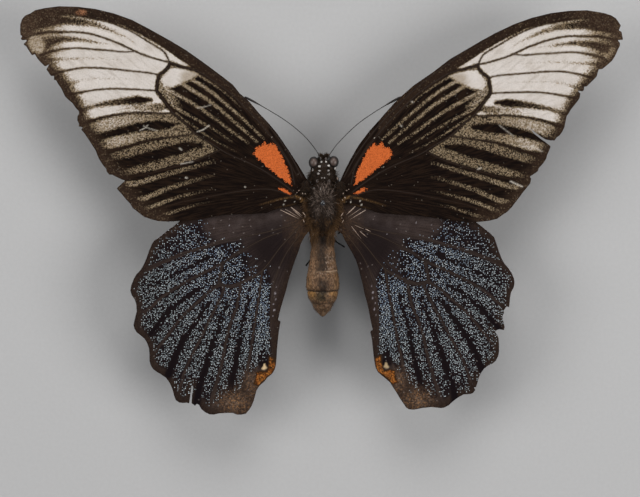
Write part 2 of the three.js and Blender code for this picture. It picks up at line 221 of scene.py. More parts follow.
# Pale streaks on the dark ground: line, half-width, paleness at the outer and at the inner end
FORE_STREAKS = [
    ([(28.2, 28.9), (25, 27.1), (21, 24.1), (18, 21.4)], 0.26, (0.4, 0.13)),
    ([(30.2, 28.1), (28, 27), (25, 25.1), (22, 22.7), (17, 18.3), (13, 14.5)], 0.37, (0.48, 0.21)),
    ([(31.8, 27.1), (28, 24.7), (24, 22.1), (20, 18.7), (16, 15.2), (14.5, 13.8)], 0.42, (0.45, 0.21)),
    ([(35.4, 25.9), (32, 24.1), (28, 21.8), (24, 19.1), (20, 16), (16.5, 13.6)], 0.4, (0.41, 0.18)),
    ([(35, 22.9), (31, 20.5), (28, 18.8), (24, 16.5), (20, 13.8)], 0.37, (0.33, 0.13)),
    ([(32.3, 19.9), (28.5, 17.2), (24, 14.2), (19, 11.6)], 0.28, (0.3, 0.1)),
    ([(44.6, 4.5), (41, 4.6), (38, 5.5), (34, 6.7), (30, 7.8), (24, 9.5)], 0.61, (0.34, 0.13)),
    ([(43, 0.9), (40, 1.2), (38, 1.8), (34, 3.5), (30, 4.8), (24, 6.5)], 0.61, (0.34, 0.08)),
    ([(40, -1.4), (37, -0.3), (33, 1.2), (29, 2.3), (24, 3.4)], 0.46, (0.36, 0.065)),
    ([(37, -2.9), (32, -1.4), (28, -0.1), (24, 0.7)], 0.39, (0.3, 0.05)),
]

# The pale field beyond the cell, the pale end of the cell, and the wing's free margin without tears
FORE_FIELD = [
    (28.2, 30.1), (32, 32.4), (36, 35.1), (40, 37.4), (44, 39.3), (48, 40.5), (52, 41.1),
    (56, 41.5), (60, 41.3), (64, 40.3), (69, 38), (66, 29), (60, 20), (56, 13), (50, 5),
    (45, 5.5), (42, 6.05), (38, 6.8), (34, 7.9), (31, 8.7), (26.6, 10.1), (23, 11.9), (25.8, 14.2),
    (28.6, 16.1), (30.6, 18.1), (33.4, 20.4), (34.8, 22.1), (36.3, 24.1), (36.8, 25), (36.7, 26.6),
    (36.3, 28.4), (35.1, 29.5), (34, 30.6), (33.7, 31.3), (31, 30.5),
]
CELL_SPOT = [
    (35, 25.8), (35.6, 27.4), (34.7, 28.7), (33.5, 30), (31.5, 30), (29.3, 29.5), (27.4, 28.7),
    (29.2, 27.6), (31.2, 26.6), (33, 25.9),
]
FORE_MARGIN = [
    (66.3, 38.4), (65.4, 35.4), (63, 32), (60.4, 29), (57.8, 25.9), (55.2, 21.8), (53.9, 18.5),
    (52.6, 15.6), (50.4, 12), (48.2, 8.4), (46.2, 5.6), (44.6, 2.6), (42, -0.2), (39, -2.8), (36, -3.8),
]
COSTAL_BAND = [
    (2, 2), (6.6, 4), (7.4, 8.4), (9.3, 11.5), (14.6, 18.2), (20, 23.8), (26.4, 28.4), (29, 30.2),
    (32, 32.2), (36, 35), (40, 37.3), (44, 39.3), (48, 40.4), (52, 41.1), (56, 41.8), (60, 46),
    (30, 46), (2, 12),
]
ORANGE_PATCH = [
    (15.2, 11.2), (14.6, 12.6), (13.5, 12.9), (12.8, 13.9), (12, 13.0), (11.2, 13.6), (10.3, 12.9),
    (9.4, 11.5), (8.4, 9.3), (7.6, 7.4), (7.1, 5.6), (6.8, 4.2), (9, 5.6), (11, 7.2), (13, 9.0),
    (14.6, 10.3),
]
ORANGE_BIT = [(9.8, 3.5), (8.8, 3.8), (8, 3.2), (6.8, 2.3), (7.8, 2.3), (9, 2.9)]

# Rubbed and scratched places on each forewing: line and half-width
FORE_RUBS = {
    -1: [
        ([(27.6, 16.0), (26.4, 16.4), (25, 17.4)], 0.12), ([(40.2, 16.3), (39.3, 16.7), (38.5, 17.4)], 0.1),
        ([(39.4, 17.3), (38.8, 16.9), (36.4, 16.2)], 0.07), ([(29.8, 5.8), (30.2, 5.9)], 0.14),
        ([(31, 12), (31.6, 12.4)], 0.12), ([(28.5, 9.4), (31.2, 8.9)], 0.1),
        ([(27.6, 21.2), (26, 21.5), (24.6, 21.9)], 0.07), ([(17, 3.8), (17.2, 3.9)], 0.1),
    ],
    1: [
        ([(38.6, 18), (40.2, 16.8), (41.8, 15.6)], 0.07), ([(41.2, 5.7), (43.8, 4.6)], 0.16),
        ([(34, 8.3), (34.7, 8.5)], 0.16), ([(44.8, 13.6), (46.4, 13.2), (48, 12.4)], 0.12),
        ([(19.2, 22.9), (19.6, 22.7)], 0.14), ([(16.9, 17.6), (17.2, 17.4)], 0.12),
    ],
}

# Hindwing veins, as for the forewing
HIND_VEINS = [
    ("subcosta", [(6, -4.2), (12, -6.0), (18, -7.2), (22, -8.1), (26, -9.4), (30, -10.6),
                  (34, -12.2), (38, -14.0), (40.2, -15.2)], (0.13, 0.08), (0.4, 0.55)),
    ("radial_sector", [(9, -6), (13, -7.5), (18, -10.3), (22, -12.9), (26, -14.9), (30, -17),
                       (34, -19.4), (36, -20.9), (38, -22.8), (40.4, -24.6)], (0.12, 0.07), (0.35, 0.45)),
    ("cell_end", [(22.2, -13.1), (22.5, -15), (22.8, -16.6), (22.9, -17.7)], (0.11, 0.11), (0.35, 0.4)),
    ("media_one", [(22.9, -17.7), (24.8, -19), (27, -21), (29, -22.8), (31, -24.7), (33, -27.3),
                   (35.2, -30.2), (37, -32.6), (38, -34)], (0.11, 0.07), (0.45, 0.4)),
    ("media_two", [(21.7, -18.2), (22.3, -20), (23.5, -22.5), (25, -25.5), (26.6, -28.8),
                   (28.2, -32), (30, -35.7), (31.2, -39.5), (31.8, -43)], (0.11, 0.07), (0.4, 0.42)),
    ("media_three", [(18.0, -17.3), (18.5, -20), (19.1, -23), (20.2, -25.8), (21.2, -29.4),
                     (22, -33.8), (23, -38), (24.2, -42), (25, -45.8)], (0.11, 0.07), (0.4, 0.5)),
    ("cubitus", [(5, -4.8), (9, -9), (12, -13), (14, -15.1), (16, -16.3), (18, -17.3),
                 (20, -18.1), (22.9, -17.7)], (0.13, 0.12), (0.3, 0.45)),
    ("cubitus_one", [(13.4, -14.7), (13.9, -19), (14.5, -23), (15.1, -27), (15.7, -31),
                     (16.4, -35), (17.1, -39), (18, -43), (18.3, -46)], (0.11, 0.07), (0.35, 0.5)),
    ("anal", [(5, -6.5), (8.2, -11), (10.2, -15.5), (11, -19), (11.3, -23), (11.3, -27),
              (10.9, -31), (10.5, -35.2)], (0.12, 0.07), (0.4, 0.4)),
]

# Black folds between the hindwing's veins, as the forewing's dark streaks
HIND_FOLDS = [
    ([(25, -11.6), (28, -13.1), (30.5, -14.3), (33, -15.6), (36, -17.2), (38, -18.6)],
     (0.42, 0.25), (0.95, 0.6)),
    ([(27.4, -18.7), (29.5, -20), (31.3, -21.3), (33, -22.8), (35, -24.8), (38, -28.6)],
     (0.4, 0.55), (0.9, 1.0)),
    ([(25, -21.5), (26.4, -23.4), (28, -25.8), (29.6, -28.2), (31.2, -30.8), (32.6, -33.8),
      (34, -37.5)], (0.35, 0.75), (0.9, 1.0)),
    ([(21, -21.4), (22, -24), (23, -26.8), (24.1, -30), (25, -33), (26, -36.6), (27.2, -40),
      (27.8, -44)], (0.35, 0.75), (0.9, 1.0)),
    ([(16.3, -20.2), (17, -23.8), (17.7, -26), (18.2, -29), (18.8, -32.5), (19.4, -36),
      (20.2, -39.5), (21, -44)], (0.3, 0.7), (0.9, 1.0)),
    ([(12.9, -29), (13, -31), (13.1, -33), (13.1, -35)], (0.1, 1.0), (0.3, 1.0)),
]

# The dusted field, the dusted cell, and the orange mark at the rear corner
HIND_FIELD = [
    (18.6, -8.9), (23, -8.6), (25.5, -7.7), (26.5, -5.8), (27, -3.9), (31.5, -4.6), (34.5, -7.2),
    (37.4, -9.6), (38.3, -12.6), (39.3, -15.3), (40.8, -17), (40.7, -19.4), (39.6, -22),
    (39.4, -24.6), (40, -26.5), (38.9, -28.2), (37.4, -30), (37, -32.6), (36.4, -35), (34.4, -36.4),
    (32.9, -38.4), (32, -41), (30.8, -42.2), (28.6, -41.8), (27, -42.6), (25.3, -43.8),
    (22.6, -43.3), (20.9, -42), (18.8, -40.8), (17, -38.6), (15.6, -36.8), (14.6, -35.2),
    (13.9, -34.5), (11.6, -33.2), (11.7, -29), (11.9, -24), (11.7, -20), (11.9, -16.6),
    (13, -14.9), (15.2, -15.9), (18, -17.4), (20.5, -18.5), (22.9, -18), (22.9, -15.4),
    (22.5, -13.2), (20.8, -11.3),
]
HIND_CELL = [
    (13.6, -12.6), (14.8, -10.4), (18.6, -10.6), (20.6, -11.8), (22, -13), (22.3, -15.2),
    (22.6, -17.3), (20.6, -17.8), (18.2, -16.9), (15.8, -15.6),
]
ANAL_ORANGE = [
    (11.9, -33.4), (10.4, -34.0), (10.3, -35.8), (10.9, -37.2), (12.3, -38.3), (14.2, -40.1),
    (15.4, -39.7), (14.8, -38.2), (14.8, -37), (13.6, -36.7), (12.4, -36.9), (12.0, -35.4),
]

# The four wings, in the order in which they are built
Wing = collections.namedtuple("Wing", "pair, name, side, edge, joint, turn, veins, folds")
WINGS = [
    Wing("fore", "left", LEFT, FORE_EDGE_LEFT, FORE_JOINT, FORE_TURN, FORE_VEINS, FORE_FOLDS),
    Wing("fore", "right", RIGHT, FORE_EDGE_RIGHT, FORE_JOINT, FORE_TURN, FORE_VEINS, FORE_FOLDS),
    Wing("hind", "left", LEFT, HIND_EDGE_LEFT, HIND_JOINT, HIND_TURN, HIND_VEINS, HIND_FOLDS),
    Wing("hind", "right", RIGHT, HIND_EDGE_RIGHT, HIND_JOINT, HIND_TURN, HIND_VEINS, HIND_FOLDS),
]

# Pale scale tufts on the head, collar and thorax: place, half-width, half-length, whiteness
SCALE_SPOTS = [
    (-0.3, 9.5, 0.17, 0.19, 0.95), (0.75, 9.5, 0.16, 0.19, 0.95), (-0.7, 8.5, 0.3, 0.22, 1.0),
    (1.32, 8.65, 0.28, 0.22, 1.0), (-2.2, 7.7, 0.14, 0.28, 0.9), (2.75, 8.05, 0.16, 0.26, 1.0),
    (-0.7, 7.5, 0.27, 0.15, 0.6), (1.27, 7.55, 0.27, 0.17, 0.6), (-0.95, 6.85, 0.28, 0.21, 0.65),
    (1.32, 6.7, 0.33, 0.26, 0.55), (-0.22, 5.9, 0.11, 0.12, 0.4), (0.4, 5.9, 0.11, 0.12, 0.45),
    (-1.17, 5.25, 0.3, 0.35, 0.14), (1.35, 5.2, 0.35, 0.35, 0.17), (-1.9, 3.65, 0.14, 0.16, 0.45),
    (-0.5, 3.4, 0.08, 0.3, 0.5), (0.72, 10.2, 0.1, 0.33, 0.2), (-0.45, 10.25, 0.1, 0.33, 0.2),
]

# Small pinkish plates over the wing joints: place, half-length, half-width and turn in degrees
JOINT_PLATES = [
    (-5.2, 3.05, 0.3, 0.14, 35), (-4.4, 2.4, 0.26, 0.16, 110), (-5.65, 2.6, 0.2, 0.12, 10),
    (-3.85, 2.35, 0.2, 0.13, 80), (5.25, 3.05, 0.28, 0.13, 150), (4.5, 2.4, 0.28, 0.17, 60),
    (5.7, 3.3, 0.22, 0.12, 20), (4.35, 1.0, 0.24, 0.14, 120), (-4.9, 1.3, 0.3, 0.2, 60),
    (4.9, 1.5, 0.3, 0.2, 120), (-3.9, -2.7, 0.2, 0.12, 100), (4.2, -3.0, 0.22, 0.12, 80),
]

# Pale glossy strands at the wing joints: from, to and radius, in mm
JOINT_STRANDS = [
    ((-9.3, -1.2), (-5.2, -3.2), 0.075), ((-7.0, -0.6), (-4.5, -2.5), 0.085),
    ((-6.5, -1.2), (-4.6, -2.9), 0.06), ((-8.3, -1.0), (-5.0, -3.0), 0.035),
    ((9.5, -1.2), (6.0, -3.3), 0.075), ((7.2, -0.4), (5.2, -2.3), 0.1),
    ((8.4, -0.9), (5.6, -2.8), 0.04), ((6.3, -4.8), (8.5, -7.6), 0.045),
    ((8.2, -5.9), (9.8, -7.3), 0.06), ((9.4, -5.4), (10.6, -6.0), 0.09), ((7.1, -4.6), (9.2, -5.5), 0.035),
    ((3.15, 6.0), (3.3, 5.3), 0.09), ((-4.4, -1.7), (-3.7, -2.6), 0.09),
    ((4.5, -1.8), (3.9, -2.8), 0.09), ((4.6, -3.4), (4.2, -4.2), 0.07), ((-4.3, -3.3), (-4.0, -4.1), 0.07),
]

# Amber ridges at the wing joints, in the forewing's table: line, half-width, strength at its ends
AMBER_RIDGES = [
    ([(13.8, -0.1), (11.5, 0.6), (9.5, 1.15), (7.6, 1.5), (5.9, 1.75), (4.7, 1.4)], 0.15, (0.15, 1.0)),
    ([(5.9, 1.7), (4.8, 1.3), (4.5, 0.8), (4.7, 0.2)], 0.3, (0.8, 1.0)),
    ([(10.5, -0.8), (8, -0.3), (6, 0.05)], 0.06, (0.2, 0.5)),
]

# White specks on the forewing's rear root and on the hindwing's inner strip: place and size
FORE_SPECKS = [(8.3, 0.85, 0.17), (6.2, 0.6, 0.17), (8.6, 0.0, 0.2), (13.3, 8.4, 0.1), (11.2, 14.8, 0.1)]
HIND_SPECKS = [
    (10.2, -18.2, 0.12), (10.5, -19.6, 0.2), (10.4, -20.9, 0.18), (10.9, -22, 0.14), (10.7, -23.3, 0.2),
    (11.0, -24.6, 0.12), (9.6, -13.9, 0.1), (20.6, -4.6, 0.14), (14, -6.8, 0.1), (24, -5.2, 0.1),
]

# Half sizes and centres of the body's rounded parts
THORAX_HALF = (3.75, 5.6, 4.3)
THORAX_CENTRE = (0.05, -0.5, 15.6)
COLLAR_HALF = (2.65, 2.5, 1.9)
COLLAR_CENTRE = (0.05, 6.0, 15.5)
HEAD_HALF = (2.6, 2.1, 1.55)
HEAD_CENTRE = (0.12, 8.0, 15.0)
EYES = {"eye_left": (-1.98, 9.35, 15.6), "eye_right": (2.4, 9.5, 15.6)}
EYE_HALF = (1.15, 1.35, 1.25)
PALPS = {"palp_left": (-0.3, 10.6, 14.5), "palp_right": (0.8, 10.65, 14.5)}
PALP_HALF = (0.34, 0.4, 0.95)
TEGULAE = {"tegula_left": (-3.75, 3.7, 18.15), "tegula_right": (3.85, 3.6, 18.15)}
TEGULA_HALF = (0.75, 1.5, 0.34)
COIL_CENTRE = (0.25, 10.2, 12.6)

# Half-width of the abdomen against the distance behind the pin, and the rings between its segments
ABDOMEN_PROFILE = [
    (6.3, 0.0), (6.45, 1.6), (7, 2.45), (8, 2.45), (9, 2.5), (11, 2.75), (13, 3.02), (15, 3.45),
    (17, 3.7), (18.2, 3.7), (19.2, 3.55), (20, 3.35), (21, 2.95), (22, 2.45), (23, 1.95),
    (24, 1.1), (24.6, 0.55), (24.9, 0.0),
]
ABDOMEN_RINGS = [
    (9.4, 0.15), (12.0, 0.35), (14.9, 0.5), (17.0, 0.1), (19.2, 1.0), (21.9, 0.45), (23.4, 0.15),
]
ABDOMEN_LEVEL = 14.9
ABDOMEN_FLATTENING = 0.88

# Routes of the legs and feelers, from the body outwards
LEGS = {
    "foreleg": [(1.3, 3.4, 11.8), (3.4, 5.4, 10.9), (1.5, 8.2, 10.2), (0.9, 10.8, 9.6)],
    "midleg": [(1.5, 0.3, 10.7), (4.6, 1.2, 10.0), (5.2, -3.0, 8.8), (3.6, -6.4, 8.3)],
    "hindleg_right": [(1.4, -3.0, 11.1), (3.0, -4.4, 10.3), (2.4, -7.4, 9.8), (4.95, -9.4, 9.4)],
    "hindleg_left": [(-1.4, -3.0, 11.1), (-3.0, -4.8, 10.3), (-1.9, -10.4, 9.8), (-3.75, -13.6, 9.4)],
}
ANTENNAE = {
    "antenna_left": [(-0.45, 9.9, 16.0), (-1.4, 11.9, 16.7), (-4, 15.05, 17.1), (-8, 18.4, 16.9),
                     (-13, 21.5, 16.8), (-17.2, 23.8, 16.8)],
    "antenna_right": [(0.95, 9.9, 16.0), (1.9, 11.6, 16.7), (3.9, 14.1, 17.1), (8, 18, 16.9),
                      (13, 21.4, 16.8), (17.2, 23.8, 16.8)],
}


# Colours and numbers

def linear(hex_colour):
    """An sRGB hex colour as linear red, green, blue and alpha 1."""
    parts = [int(hex_colour[place:place + 2], 16) / 255 for place in (1, 3, 5)]
    curved = [p / 12.92 if p <= 0.04045 else ((p + 0.055) / 1.055) ** 2.4 for p in parts]
    return (*curved, 1.0)


def smoothstep(low, high, value):
    """0 below low, 1 above high, and a smooth rise between them."""
    part = np.clip((value - low) / (high - low), 0, 1)
    return part * part * (3 - 2 * part)


def smooth_line(points, steps=4):
    """A Catmull-Rom curve through the points: each stretch is a cubic with its neighbours' slopes."""
    p = np.asarray(points, float)
    padded = np.vstack([2 * p[0] - p[1], p, 2 * p[-1] - p[-2]])
    a, b, c, d = padded[:-3], padded[1:-2], padded[2:-1], padded[3:]
    t = (np.arange(steps) / steps)[None, :, None]
    a, b, c, d = (q[:, None, :] for q in (a, b, c, d))
    curve = 0.5 * (2 * b + (c - a) * t + (2 * a - 5 * b + 4 * c - d) * t ** 2
                   + (3 * b - a - 3 * c + d) * t ** 3)
    return np.vstack([curve.reshape(-1, p.shape[1]), p[-1]])


def near(points, line):
    """For each point, the distance to a line of points, how far along it is, and the nearest place."""
    line = np.asarray(line, float)
    start, step = line[:-1], np.diff(line, axis=0)
    length = np.linalg.norm(step, axis=1)
    before = np.concatenate([[0], np.cumsum(length)])
    offset = points[:, None, :] - start[None]
    part = np.clip((offset * step).sum(2) / length ** 2, 0, 1)
    gap = np.linalg.norm(offset - part[..., None] * step, axis=2)
    best = gap.argmin(1)
    row = np.arange(len(points))
    along = (before[best] + part[row, best] * length[best]) / before[-1]
    return gap[row, best], along, start[best] + part[row, best][:, None] * step[best]


def inside(points, polygon):
    """True where a ray from the point crosses the polygon's edges an odd number of times."""
    polygon = np.asarray(polygon, float)
    found = np.zeros(len(points), bool)
    x, y = points[:, 0], points[:, 1]
    for (x1, y1), (x2, y2) in zip(polygon, np.roll(polygon, -1, axis=0)):
        if y1 != y2:
            crosses = (y1 > y) != (y2 > y)
            found ^= crosses & (x < (x2 - x1) * (y - y1) / (y2 - y1) + x1)
    return found


def band(points, line, half, soft=0.16, taper=0.0):
    """1 within a band round a line, whose half-width changes evenly along it, and 0 outside it, with
    the part of the way along the line. With taper the first fifth narrows to a point."""
    distance, along, _ = near(points, smooth_line(line, 3))
    reach = half[0] + (half[1] - half[0]) * along
    reach = reach * (1 - taper * (1 - smoothstep(0, 0.2, along)))
    return 1 - smoothstep(reach - soft, reach + soft, distance), along


def blend(pair, along):
    """The value between a pair of end values, part of the way along."""
    return pair[0] + (pair[1] - pair[0]) * along


def line_level(u, line):
    """The height v of a line that runs outwards, at each u."""
    curve = smooth_line(line, 3)
    return np.interp(u, curve[:, 0], curve[:, 1])


def area(points, polygon, soft):
    """1 inside a polygon and 0 outside it, with a soft edge that is twice soft wide."""
    closed = np.vstack([polygon, polygon[:1]])
    distance = near(points, closed)[0]
    signed = np.where(inside(points, polygon), distance, -distance)
    return smoothstep(-soft, soft, signed)


def spot(points, centre, half):
    """1 at the centre of an ellipse, falling to 0 at its edge."""
    reach = np.linalg.norm((points - np.array(centre)) / np.array(half), axis=1)
    return 1 - smoothstep(0.6, 1.15, reach)


def waves(u, v, length, phase):
    """A slow, uneven surface between -1 and 1: the product and sum of three crossed sines."""
    return (np.sin(u / length + phase) * np.cos(v / length * 1.3 - phase)
            + np.sin((u + v) / length * 0.6 + 2 * phase)) / 2


# Meshes

def make_piece(name, points, faces, material, values=None, smooth=True, stands_for=()):
    """A mesh object from arrays of points in mm and faces, with named values on its points."""
    mesh = bpy.data.meshes.new(name)
    mesh.from_pydata((np.asarray(points) * MM).tolist(), [], [f.tolist() for f in faces])
    mesh.update()
    mesh.polygons.foreach_set("use_smooth", np.full(len(mesh.polygons), smooth))
    for key, value in (values or {}).items():
        mesh.attributes.new(key, "FLOAT", "POINT").data.foreach_set("value", value.astype(np.float32))
    mesh.materials.append(material)
    piece = bpy.data.objects.new(name, mesh)
    bpy.context.scene.collection.objects.link(piece)
    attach(piece, "root")
    if stands_for:
        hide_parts(*stands_for)
    return piece


def face_rows(*groups):
    """Faces of several sizes as one list."""
    return [face for group in groups for face in np.asarray(group)]


def join_parts(parts):
    """Several (points, faces, values) as one, with the faces' numbers moved on."""
    points, faces, values, first = [], [], {}, 0
    for part_points, part_faces, part_values in parts:
        points.append(part_points)
        faces.extend(np.asarray(face) + first for face in part_faces)
        for key, value in part_values.items():
            values.setdefault(key, []).append(value)
        first += len(part_points)
    return np.vstack(points), faces, {key: np.concatenate(rows) for key, rows in values.items()}


def ring_faces(rings, around, inward=False):
    """Faces of a stack of rings of points, with one point before the first ring and one after the last
    at the end of the list: squares between the rings and a fan of triangles at each end."""
    ids = np.arange(around)
    turn = (ids + 1) % around
    row = np.arange(rings - 1)[:, None] * around
    quads = np.stack([row + ids, row + ids + around, row + turn + around, row + turn], -1).reshape(-1, 4)
    front, last = rings * around, (rings - 1) * around
    caps = np.vstack([
        np.stack([np.full(around, front), ids, turn], 1),
        np.stack([np.full(around, front + 1), last + turn, last + ids], 1),
    ])
    if inward:
        quads, caps = quads[:, [0, 3, 2, 1]], caps[:, [0, 2, 1]]
    return face_rows(quads, caps)


def tube(line, radius, sides=6, reference=(0, 0, 1), flatten=1.0):
    """A round section carried along a line, closed by a point at each end. The section lies square to
    the line's direction, and radius is one number for each point of the line."""
    line = np.asarray(line, float)
    radius = np.broadcast_to(radius, len(line))
    along = np.gradient(line, axis=0)
    along /= np.linalg.norm(along, axis=1)[:, None]
    side = np.cross(along, reference)
    side /= np.linalg.norm(side, axis=1)[:, None]
    up = np.cross(side, along)
    angle = np.arange(sides) / sides * 2 * np.pi
    ring = side[:, None] * np.cos(angle)[None, :, None]
    ring = ring + up[:, None] * np.sin(angle)[None, :, None] * flatten
    points = (line[:, None] + ring * radius[:, None, None]).reshape(-1, 3)
    points = np.vstack([points, line[0] - along[0] * radius[0] * TUBE_TIP,
                        line[-1] + along[-1] * radius[-1] * TUBE_TIP])
    run = np.concatenate([np.repeat(np.linspace(0, 1, len(line)), sides), [0, 1]])
    return points, ring_faces(len(line), sides), run


def ball(half, centre, around=48, down=32):
    """An ellipsoid on a grid of angles round Z and down from the top, with a point at each pole."""
    theta = (np.arange(1, down) / down * np.pi)[:, None]
    phi = (np.arange(around) / around * 2 * np.pi)[None]
    unit = np.stack([np.sin(theta) * np.cos(phi), np.sin(theta) * np.sin(phi),
                     np.cos(theta) + 0 * phi], -1).reshape(-1, 3)
    unit = np.vstack([unit, [0, 0, 1], [0, 0, -1]])
    return unit * np.array(half) + np.array(centre), ring_faces(down - 1, around), unit


def lathe(profile, around=32):
    """A profile of (radius, height) turned about the pin's axis, with a point at each end."""
    profile = np.asarray(profile, float)
    body = profile[1:-1]
    angle = np.arange(around) / around * 2 * np.pi
    points = np.stack([body[:, :1] * np.cos(angle), body[:, :1] * np.sin(angle),
                       body[:, 1:] + 0 * angle], -1).reshape(-1, 3)
    points = np.vstack([points, [0, 0, profile[0, 1]], [0, 0, profile[-1, 1]]])
    return points, ring_faces(len(body), around, inward=True)


def clumps(roots, size, phase):
    """Three slow values between -1 and 1 on each root, which neighbouring hairs share."""
    x, y, z = (roots / size).T
    return np.column_stack([
        np.sin(2.1 * x + 1.3 * y + phase) * np.cos(1.7 * z - 0.6 * y),
        np.sin(1.9 * y - 1.1 * z + 2 * phase) * np.cos(1.6 * x + 0.4 * z),
        np.sin(1.4 * z + 1.8 * x - phase) * np.cos(2.2 * y)])


def hairs(roots, out, comb, length, radius, random, curl=0.25):
    """Three-sided tapering hairs. Each runs from its root, first outwards and then along the combing
    direction, with a small bend of its own, and ends in a point."""
    count = len(roots)
    stations = np.array([0.0, 0.4, 0.78, 1.0])
    bend = random.normal(0, curl, (count, 3))
    t = stations[None, :, None]
    path = roots[:, None] + length[:, None, None] * (
        out[:, None] * (t - 0.45 * t ** 2) + comb[:, None] * (0.25 * t + 0.6 * t ** 2)
        + bend[:, None] * t ** 2)
    along = path[:, -1] - path[:, 0]
    along /= np.linalg.norm(along, axis=1)[:, None]
    side = np.cross(along, random.normal(0, 1, (count, 3)))
    side /= np.linalg.norm(side, axis=1)[:, None]
    other = np.cross(along, side)
    angle = np.arange(3) / 3 * 2 * np.pi
    ring = side[:, None] * np.cos(angle)[None, :, None] + other[:, None] * np.sin(angle)[None, :, None]
    width = radius[:, None] * np.array([0.8, 1.0, 0.7])[None]
    rings = path[:, :3, None] + ring[:, None] * width[:, :, None, None]
    points = np.concatenate([rings.reshape(count, 9, 3), path[:, 3:4]], 1).reshape(-1, 3)
    quads = np.array([[level * 3 + a, level * 3 + b, level * 3 + 3 + b, level * 3 + 3 + a]
                      for level in (0, 1) for a, b in ((0, 1), (1, 2), (2, 0))])
    ends = np.array([[6, 7, 9], [7, 8, 9], [8, 6, 9], [0, 2, 1]])
    first = (np.arange(count) * HAIR_POINTS)[:, None, None]
    run = np.tile(np.concatenate([np.repeat(stations[:3], 3), [1.0]]), count)
    return points, face_rows((quads + first).reshape(-1, 4), (ends + first).reshape(-1, 3)), run


def on_ball(half, centre, count, random):
    """Evenly spread random places on an ellipsoid, with their outward directions."""
    unit = random.normal(0, 1, (count, 3))
    unit /= np.linalg.norm(unit, axis=1)[:, None]
    out = unit / np.array(half)
    out /= np.linalg.norm(out, axis=1)[:, None]
    return unit * np.array(half) + np.array(centre), out


def ring_marks(behind, width):
    """How strongly each distance behind the pin lies in a groove between the abdomen's segments."""
    return np.max([weight * np.exp(-((behind - place) / width) ** 2) for place, weight in ABDOMEN_RINGS],
                  axis=0)


def body_top(x, y):
    """The highest of the head's, collar's and thorax's surfaces at each place, and their middle level
    where there is none."""
    levels = [np.full(np.shape(x), COLLAR_CENTRE[2])]
    for half, centre in ((THORAX_HALF, THORAX_CENTRE), (COLLAR_HALF, COLLAR_CENTRE),
                         (HEAD_HALF, HEAD_CENTRE)):
        left = 1 - ((x - centre[0]) / half[0]) ** 2 - ((y - centre[1]) / half[1]) ** 2
        levels.append(centre[2] + half[2] * np.sqrt(np.maximum(left, 0)))
    return np.max(levels, axis=0)


def fur_piece(name, coats, random, curl=0.25):
    """One fur mesh from coats of hair. A coat is its roots, outward directions, combing directions,
    lengths, radii, greyness and brownness, a row for each hair."""
    roots, out, comb, length, radius, grey, tone = (np.concatenate(rows) for rows in zip(*coats))
    points, faces, run = hairs(roots, out, comb, length, radius, random, curl)
    values = {"run": run, "grey": np.repeat(grey, HAIR_POINTS), "tone": np.repeat(tone, HAIR_POINTS)}
    return make_piece(name, points, faces, bpy.data.materials["dried_body_hair"], values)


# Wings

def turned(points, degrees):
    """Points turned anticlockwise about the origin, seen from above."""
    angle = math.radians(degrees)
    spin = np.eye(points.shape[1])
    spin[:2, :2] = [[math.cos(angle), math.sin(angle)], [-math.sin(angle), math.cos(angle)]]
    return points @ spin


def to_table(points, wing):
    """Turns places on a wing into the tables' u and v."""
    flipped = points * np.array([wing.side, 1.0])
    if wing.side == LEFT:
        return flipped
    return turned(flipped - np.array(wing.joint), -wing.turn) + np.array(wing.joint)


def from_table(points, wing):
    """Turns the tables' u and v into places on a wing."""
    if wing.side == RIGHT:
        points = turned(points - np.array(wing.joint), wing.turn) + np.array(wing.joint)
    return points * np.array([wing.side, 1.0])


def wing_edge(wing):
    """The wing's outline in place, closed: its last point is its first one again."""
    edge = np.array(wing.edge) * np.array([wing.side, 1.0])
    return np.vstack([edge, edge[:1]])


def blade_level(node):
    """The middle level of a wing's CAD blade against u, from the blade's box."""
    low, high = (np.array(corner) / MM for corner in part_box(node))
    reach = sorted(abs(x) for x in (low[0], high[0]))
    rise = (high[2] - low[2] - CAD_BLADE) / (reach[1] - reach[0])
    return lambda u: low[2] + CAD_BLADE / 2 + (u - reach[0]) * rise


def clip_grid(edge, cell):
    """A square grid cut to the wing's edge: its corner places, which of them lie on the rim, its
    squares, and the rim's edges in anticlockwise order. Rim corners move onto the edge."""
    edge = np.asarray(edge, float)
    low = edge.min(0) - 2 * cell
    nx, ny = np.ceil((edge.max(0) + 2 * cell - low) / cell).astype(int)
    i, j = np.meshgrid(np.arange(nx), np.arange(ny), indexing="ij")
    centres = low + (np.stack([i, j], -1) + 0.5) * cell
    keep = inside(centres.reshape(-1, 2), edge).reshape(nx, ny)
    for _ in range(3):
        padded = np.pad(keep, 1).astype(int)
        beside = padded[:-2, 1:-1] + padded[2:, 1:-1] + padded[1:-1, :-2] + padded[1:-1, 2:]
        keep &= beside >= 2
    padded = np.pad(keep, 1)
    corner = (padded[:-1, :-1].astype(int) + padded[1:, :-1] + padded[:-1, 1:] + padded[1:, 1:])
    used = corner > 0
    number = np.full(used.shape, -1)
    number[used] = np.arange(used.sum())
    ci, cj = np.nonzero(used)
    places = low + np.stack([ci, cj], 1) * cell
    rim = corner[used] < 4
    closed = np.vstack([edge, edge[:1]])
    places[rim] = near(places[rim], closed)[2]
    i, j = np.nonzero(keep)
    squares = np.stack([number[i, j], number[i + 1, j], number[i + 1, j + 1], number[i, j + 1]], 1)
    rims = []
    for di, dj, a, b in ((0, -1, 0, 1), (1, 0, 1, 2), (0, 1, 2, 3), (-1, 0, 3, 0)):
        open_side = ~padded[i + 1 + di, j + 1 + dj]
        rims.append(squares[open_side][:, [a, b]])
    return places, rim, squares, np.vstack(rims)


def vein_distance(points, veins):
    """The distance from each point to the nearest vein."""
    return np.min([near(points, smooth_line(line, 3))[0] for _, line, _, _ in veins], axis=0)


def halo_strength(points, veins, soft):
    """1 within the halo of any vein."""
    return np.max([band(points, line, halo, soft)[0] for _, line, _, halo in veins], axis=0)


